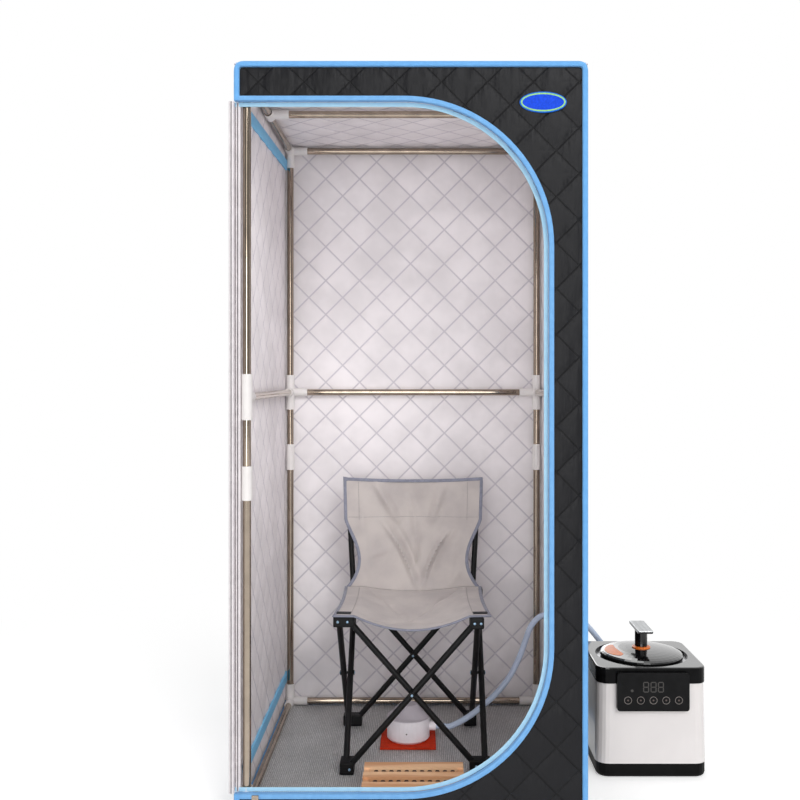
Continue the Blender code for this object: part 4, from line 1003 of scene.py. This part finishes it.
def make_small_goods():
    """Diffuser, its pad and the foot roller."""
    white = Finish("diffuser_white", rgb(246, 241, 246), 0.35).mottle(30.0, 0.03).bump_noise(500.0, 0.00015).material
    frost = Finish("frosted_plastic", rgb(216, 208, 216), 0.45, Transmission_Weight=0.35).mottle(20.0, 0.05)
    pad = Finish("orange_pad", rgb(206, 50, 8), 0.65, Specular_IOR_Level=0.2).mottle(120.0, 0.12).bump_noise(900.0, 0.0006).material
    dress("diffuser_base", white)
    dress("diffuser_lid", frost.bump_noise(300.0, 0.0003).material)
    dress("diffuser_pad", pad)
    wood = Finish("wood", rgb(226, 172, 126), 0.5)
    grain = wood.noise(42.0, 5.0, stretch=(0.09, 1.0, 1.0))
    rings = wood.span(grain, 0.38, 0.62)
    wood.set("Base Color", wood.mix(rings, rgb(222, 164, 120), rgb(250, 204, 162)))
    dress("foot_roller_frame", wood.bump(grain, 0.0012).material)
    # Painted shade: the rollers get a dark brown in place of the frame's light wood, for the shade they sit in between
    # the slats
    dark = Finish("dark_wood", rgb(62, 42, 32), 0.5).mottle(60.0, 0.3, (0.15, 1.0, 1.0)).bump_noise(300.0, 0.0004)
    for node in ("foot_roller_1", "foot_roller_2"):
        dress(node, dark.material)
    dot = Finish("diffuser_vent", rgb(110, 104, 108), 0.5).mottle(300.0, 0.1).material
    low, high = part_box("diffuser_base")
    x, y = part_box("diffuser_lid")[0].lerp(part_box("diffuser_lid")[1], 0.5)[:2]
    bm = bmesh.new()
    disc(bm, (x - 0.004, y - 0.0585, (low.z + high.z) / 2), (0, -1, 0), 0.002, 0.0012)
    piece("diffuser_vent", from_bmesh("diffuser_vent", bm), "cabin", dot)


def area_light(name, place, target, size, power):
    data = bpy.data.lights.new(name, "AREA")
    data.shape = "RECTANGLE"
    data.size, data.size_y = size
    data.energy = power
    lamp = bpy.data.objects.new(name, data)
    bpy.context.scene.collection.objects.link(lamp)
    lamp.location = place
    lamp.rotation_euler = (Vector(target) - Vector(place)).to_track_quat("-Z", "Y").to_euler()
    return lamp


def floor_finish():
    """A floor that is white for the camera and for mirrors, apart from the object's shadow."""
    made = Finish("pale_floor", (0.9, 0.9, 0.9), 0.7).mottle(2.0, 0.01)
    far = made.node("ShaderNodeVectorMath", {0: made.coords()}, operation="LENGTH").outputs["Value"]
    path = made.node("ShaderNodeLightPath").outputs
    seen = made.math("MAXIMUM", path["Is Camera Ray"], path["Is Glossy Ray"])
    seen = made.math("MAXIMUM", seen, path["Is Transmission Ray"])
    made.set("Emission Strength", made.math("MULTIPLY", seen, FLOOR_GLOW))
    made.set("Emission Color", (1.0, 1.0, 1.0, 1.0))
    glow = made.node("ShaderNodeEmission", {"Strength": 1.0})
    blend = made.node("ShaderNodeMixShader")
    made.feed(blend.inputs[0], made.math("MULTIPLY", seen, made.span(far, 0.6, 2.2, 0.0, 1.0)))
    made.feed(blend.inputs[1], made.shader.outputs[0])
    made.feed(blend.inputs[2], glow.outputs[0])
    made.feed(made.tree.nodes["Material Output"].inputs["Surface"], blend.outputs[0])
    return made.material


# The surround's level from in front of the cabin to behind it: two directions and their levels
MIRROR_LEVELS = (-0.6, 0.5, 0.25, 1.0)
SOFT_LEVELS = (-0.8, 0.3, 0.95, 0.35)
# An upright strip of the surround that only mirrors show, from its middle to its edge
STRIP_LEVELS = (0.06, 0.16, 2.0, 0.0)
# What the floor adds to its lit level of a little over a half, so that it is white
FLOOR_GLOW = 0.42


def make_stage():
    """A pale floor, a white surround and soft lamps."""
    bpy.context.scene.view_settings.view_transform = "Standard"
    floor = bpy.data.meshes.new("floor")
    bm = bmesh.new()
    bmesh.ops.create_grid(bm, x_segments=1, y_segments=1, size=12.0)
    bm.to_mesh(floor)
    bm.free()
    ground = bpy.data.objects.new("floor", floor)
    bpy.context.scene.collection.objects.link(ground)
    ground.location.z = -0.0005
    floor.materials.append(floor_finish())
    world = bpy.data.worlds.new("surround")
    bpy.context.scene.world = world
    world.use_nodes = True
    tree = world.node_tree
    sky = tree.nodes["Background"]
    path = tree.nodes.new("ShaderNodeLightPath")
    toward = tree.nodes.new("ShaderNodeTexCoord")
    axes = tree.nodes.new("ShaderNodeSeparateXYZ")
    tree.links.new(toward.outputs["Generated"], axes.inputs[0])
    rooms = []
    for levels in (MIRROR_LEVELS, SOFT_LEVELS):
        room = tree.nodes.new("ShaderNodeMapRange")
        for socket, value in zip(("From Min", "From Max", "To Min", "To Max"), levels):
            room.inputs[socket].default_value = value
        tree.links.new(axes.outputs["Y"], room.inputs["Value"])
        rooms.append(room.outputs["Result"])
    strip = tree.nodes.new("ShaderNodeMapRange")
    for socket, value in zip(("From Min", "From Max", "To Min", "To Max"), STRIP_LEVELS):
        strip.inputs[socket].default_value = value
    aside = tree.nodes.new("ShaderNodeMath")
    aside.operation = "ABSOLUTE"
    tree.links.new(axes.outputs["X"], aside.inputs[0])
    tree.links.new(aside.outputs[0], strip.inputs["Value"])
    brighter = tree.nodes.new("ShaderNodeMath")
    tree.links.new(rooms[0], brighter.inputs[0])
    tree.links.new(strip.outputs["Result"], brighter.inputs[1])
    rooms[0] = brighter.outputs[0]
    soft = tree.nodes.new("ShaderNodeMix")
    tree.links.new(path.outputs["Is Diffuse Ray"], soft.inputs[0])
    tree.links.new(rooms[0], soft.inputs[2])
    tree.links.new(rooms[1], soft.inputs[3])
    seen = tree.nodes.new("ShaderNodeMix")
    clear = tree.nodes.new("ShaderNodeMath")
    clear.operation = "MAXIMUM"
    tree.links.new(path.outputs["Is Camera Ray"], clear.inputs[0])
    tree.links.new(path.outputs["Is Transmission Ray"], clear.inputs[1])
    tree.links.new(clear.outputs[0], seen.inputs[0])
    tree.links.new(soft.outputs[0], seen.inputs[2])
    seen.inputs[3].default_value = 1.0
    level = seen.outputs[0]
    tree.links.new(level, sky.inputs["Strength"])
    sky.inputs["Color"].default_value = (1.0, 1.0, 1.0, 1.0)
    area_light("key", (2.8, -7.0, 5.2), (0.0, 0.1, 0.6), (3.0, 3.0), 205.0)
    area_light("fill", (-0.5, -9.0, 0.9), (0.0, 0.3, 0.8), (3.0, 3.0), 145.0)
    inside = area_light("inside", (-0.05, -0.34, 1.15), (-0.05, 0.4, 1.2), (0.5, 0.9), 0.95)
    inside.visible_camera = inside.visible_glossy = False


make_camera()
make_hose()
make_quilts()
make_bindings()
make_zip()
make_wall_tapes()
make_patch()
make_frame_finishes()
make_floor_mat()
make_chair()
make_pot()
make_small_goods()
make_stage()
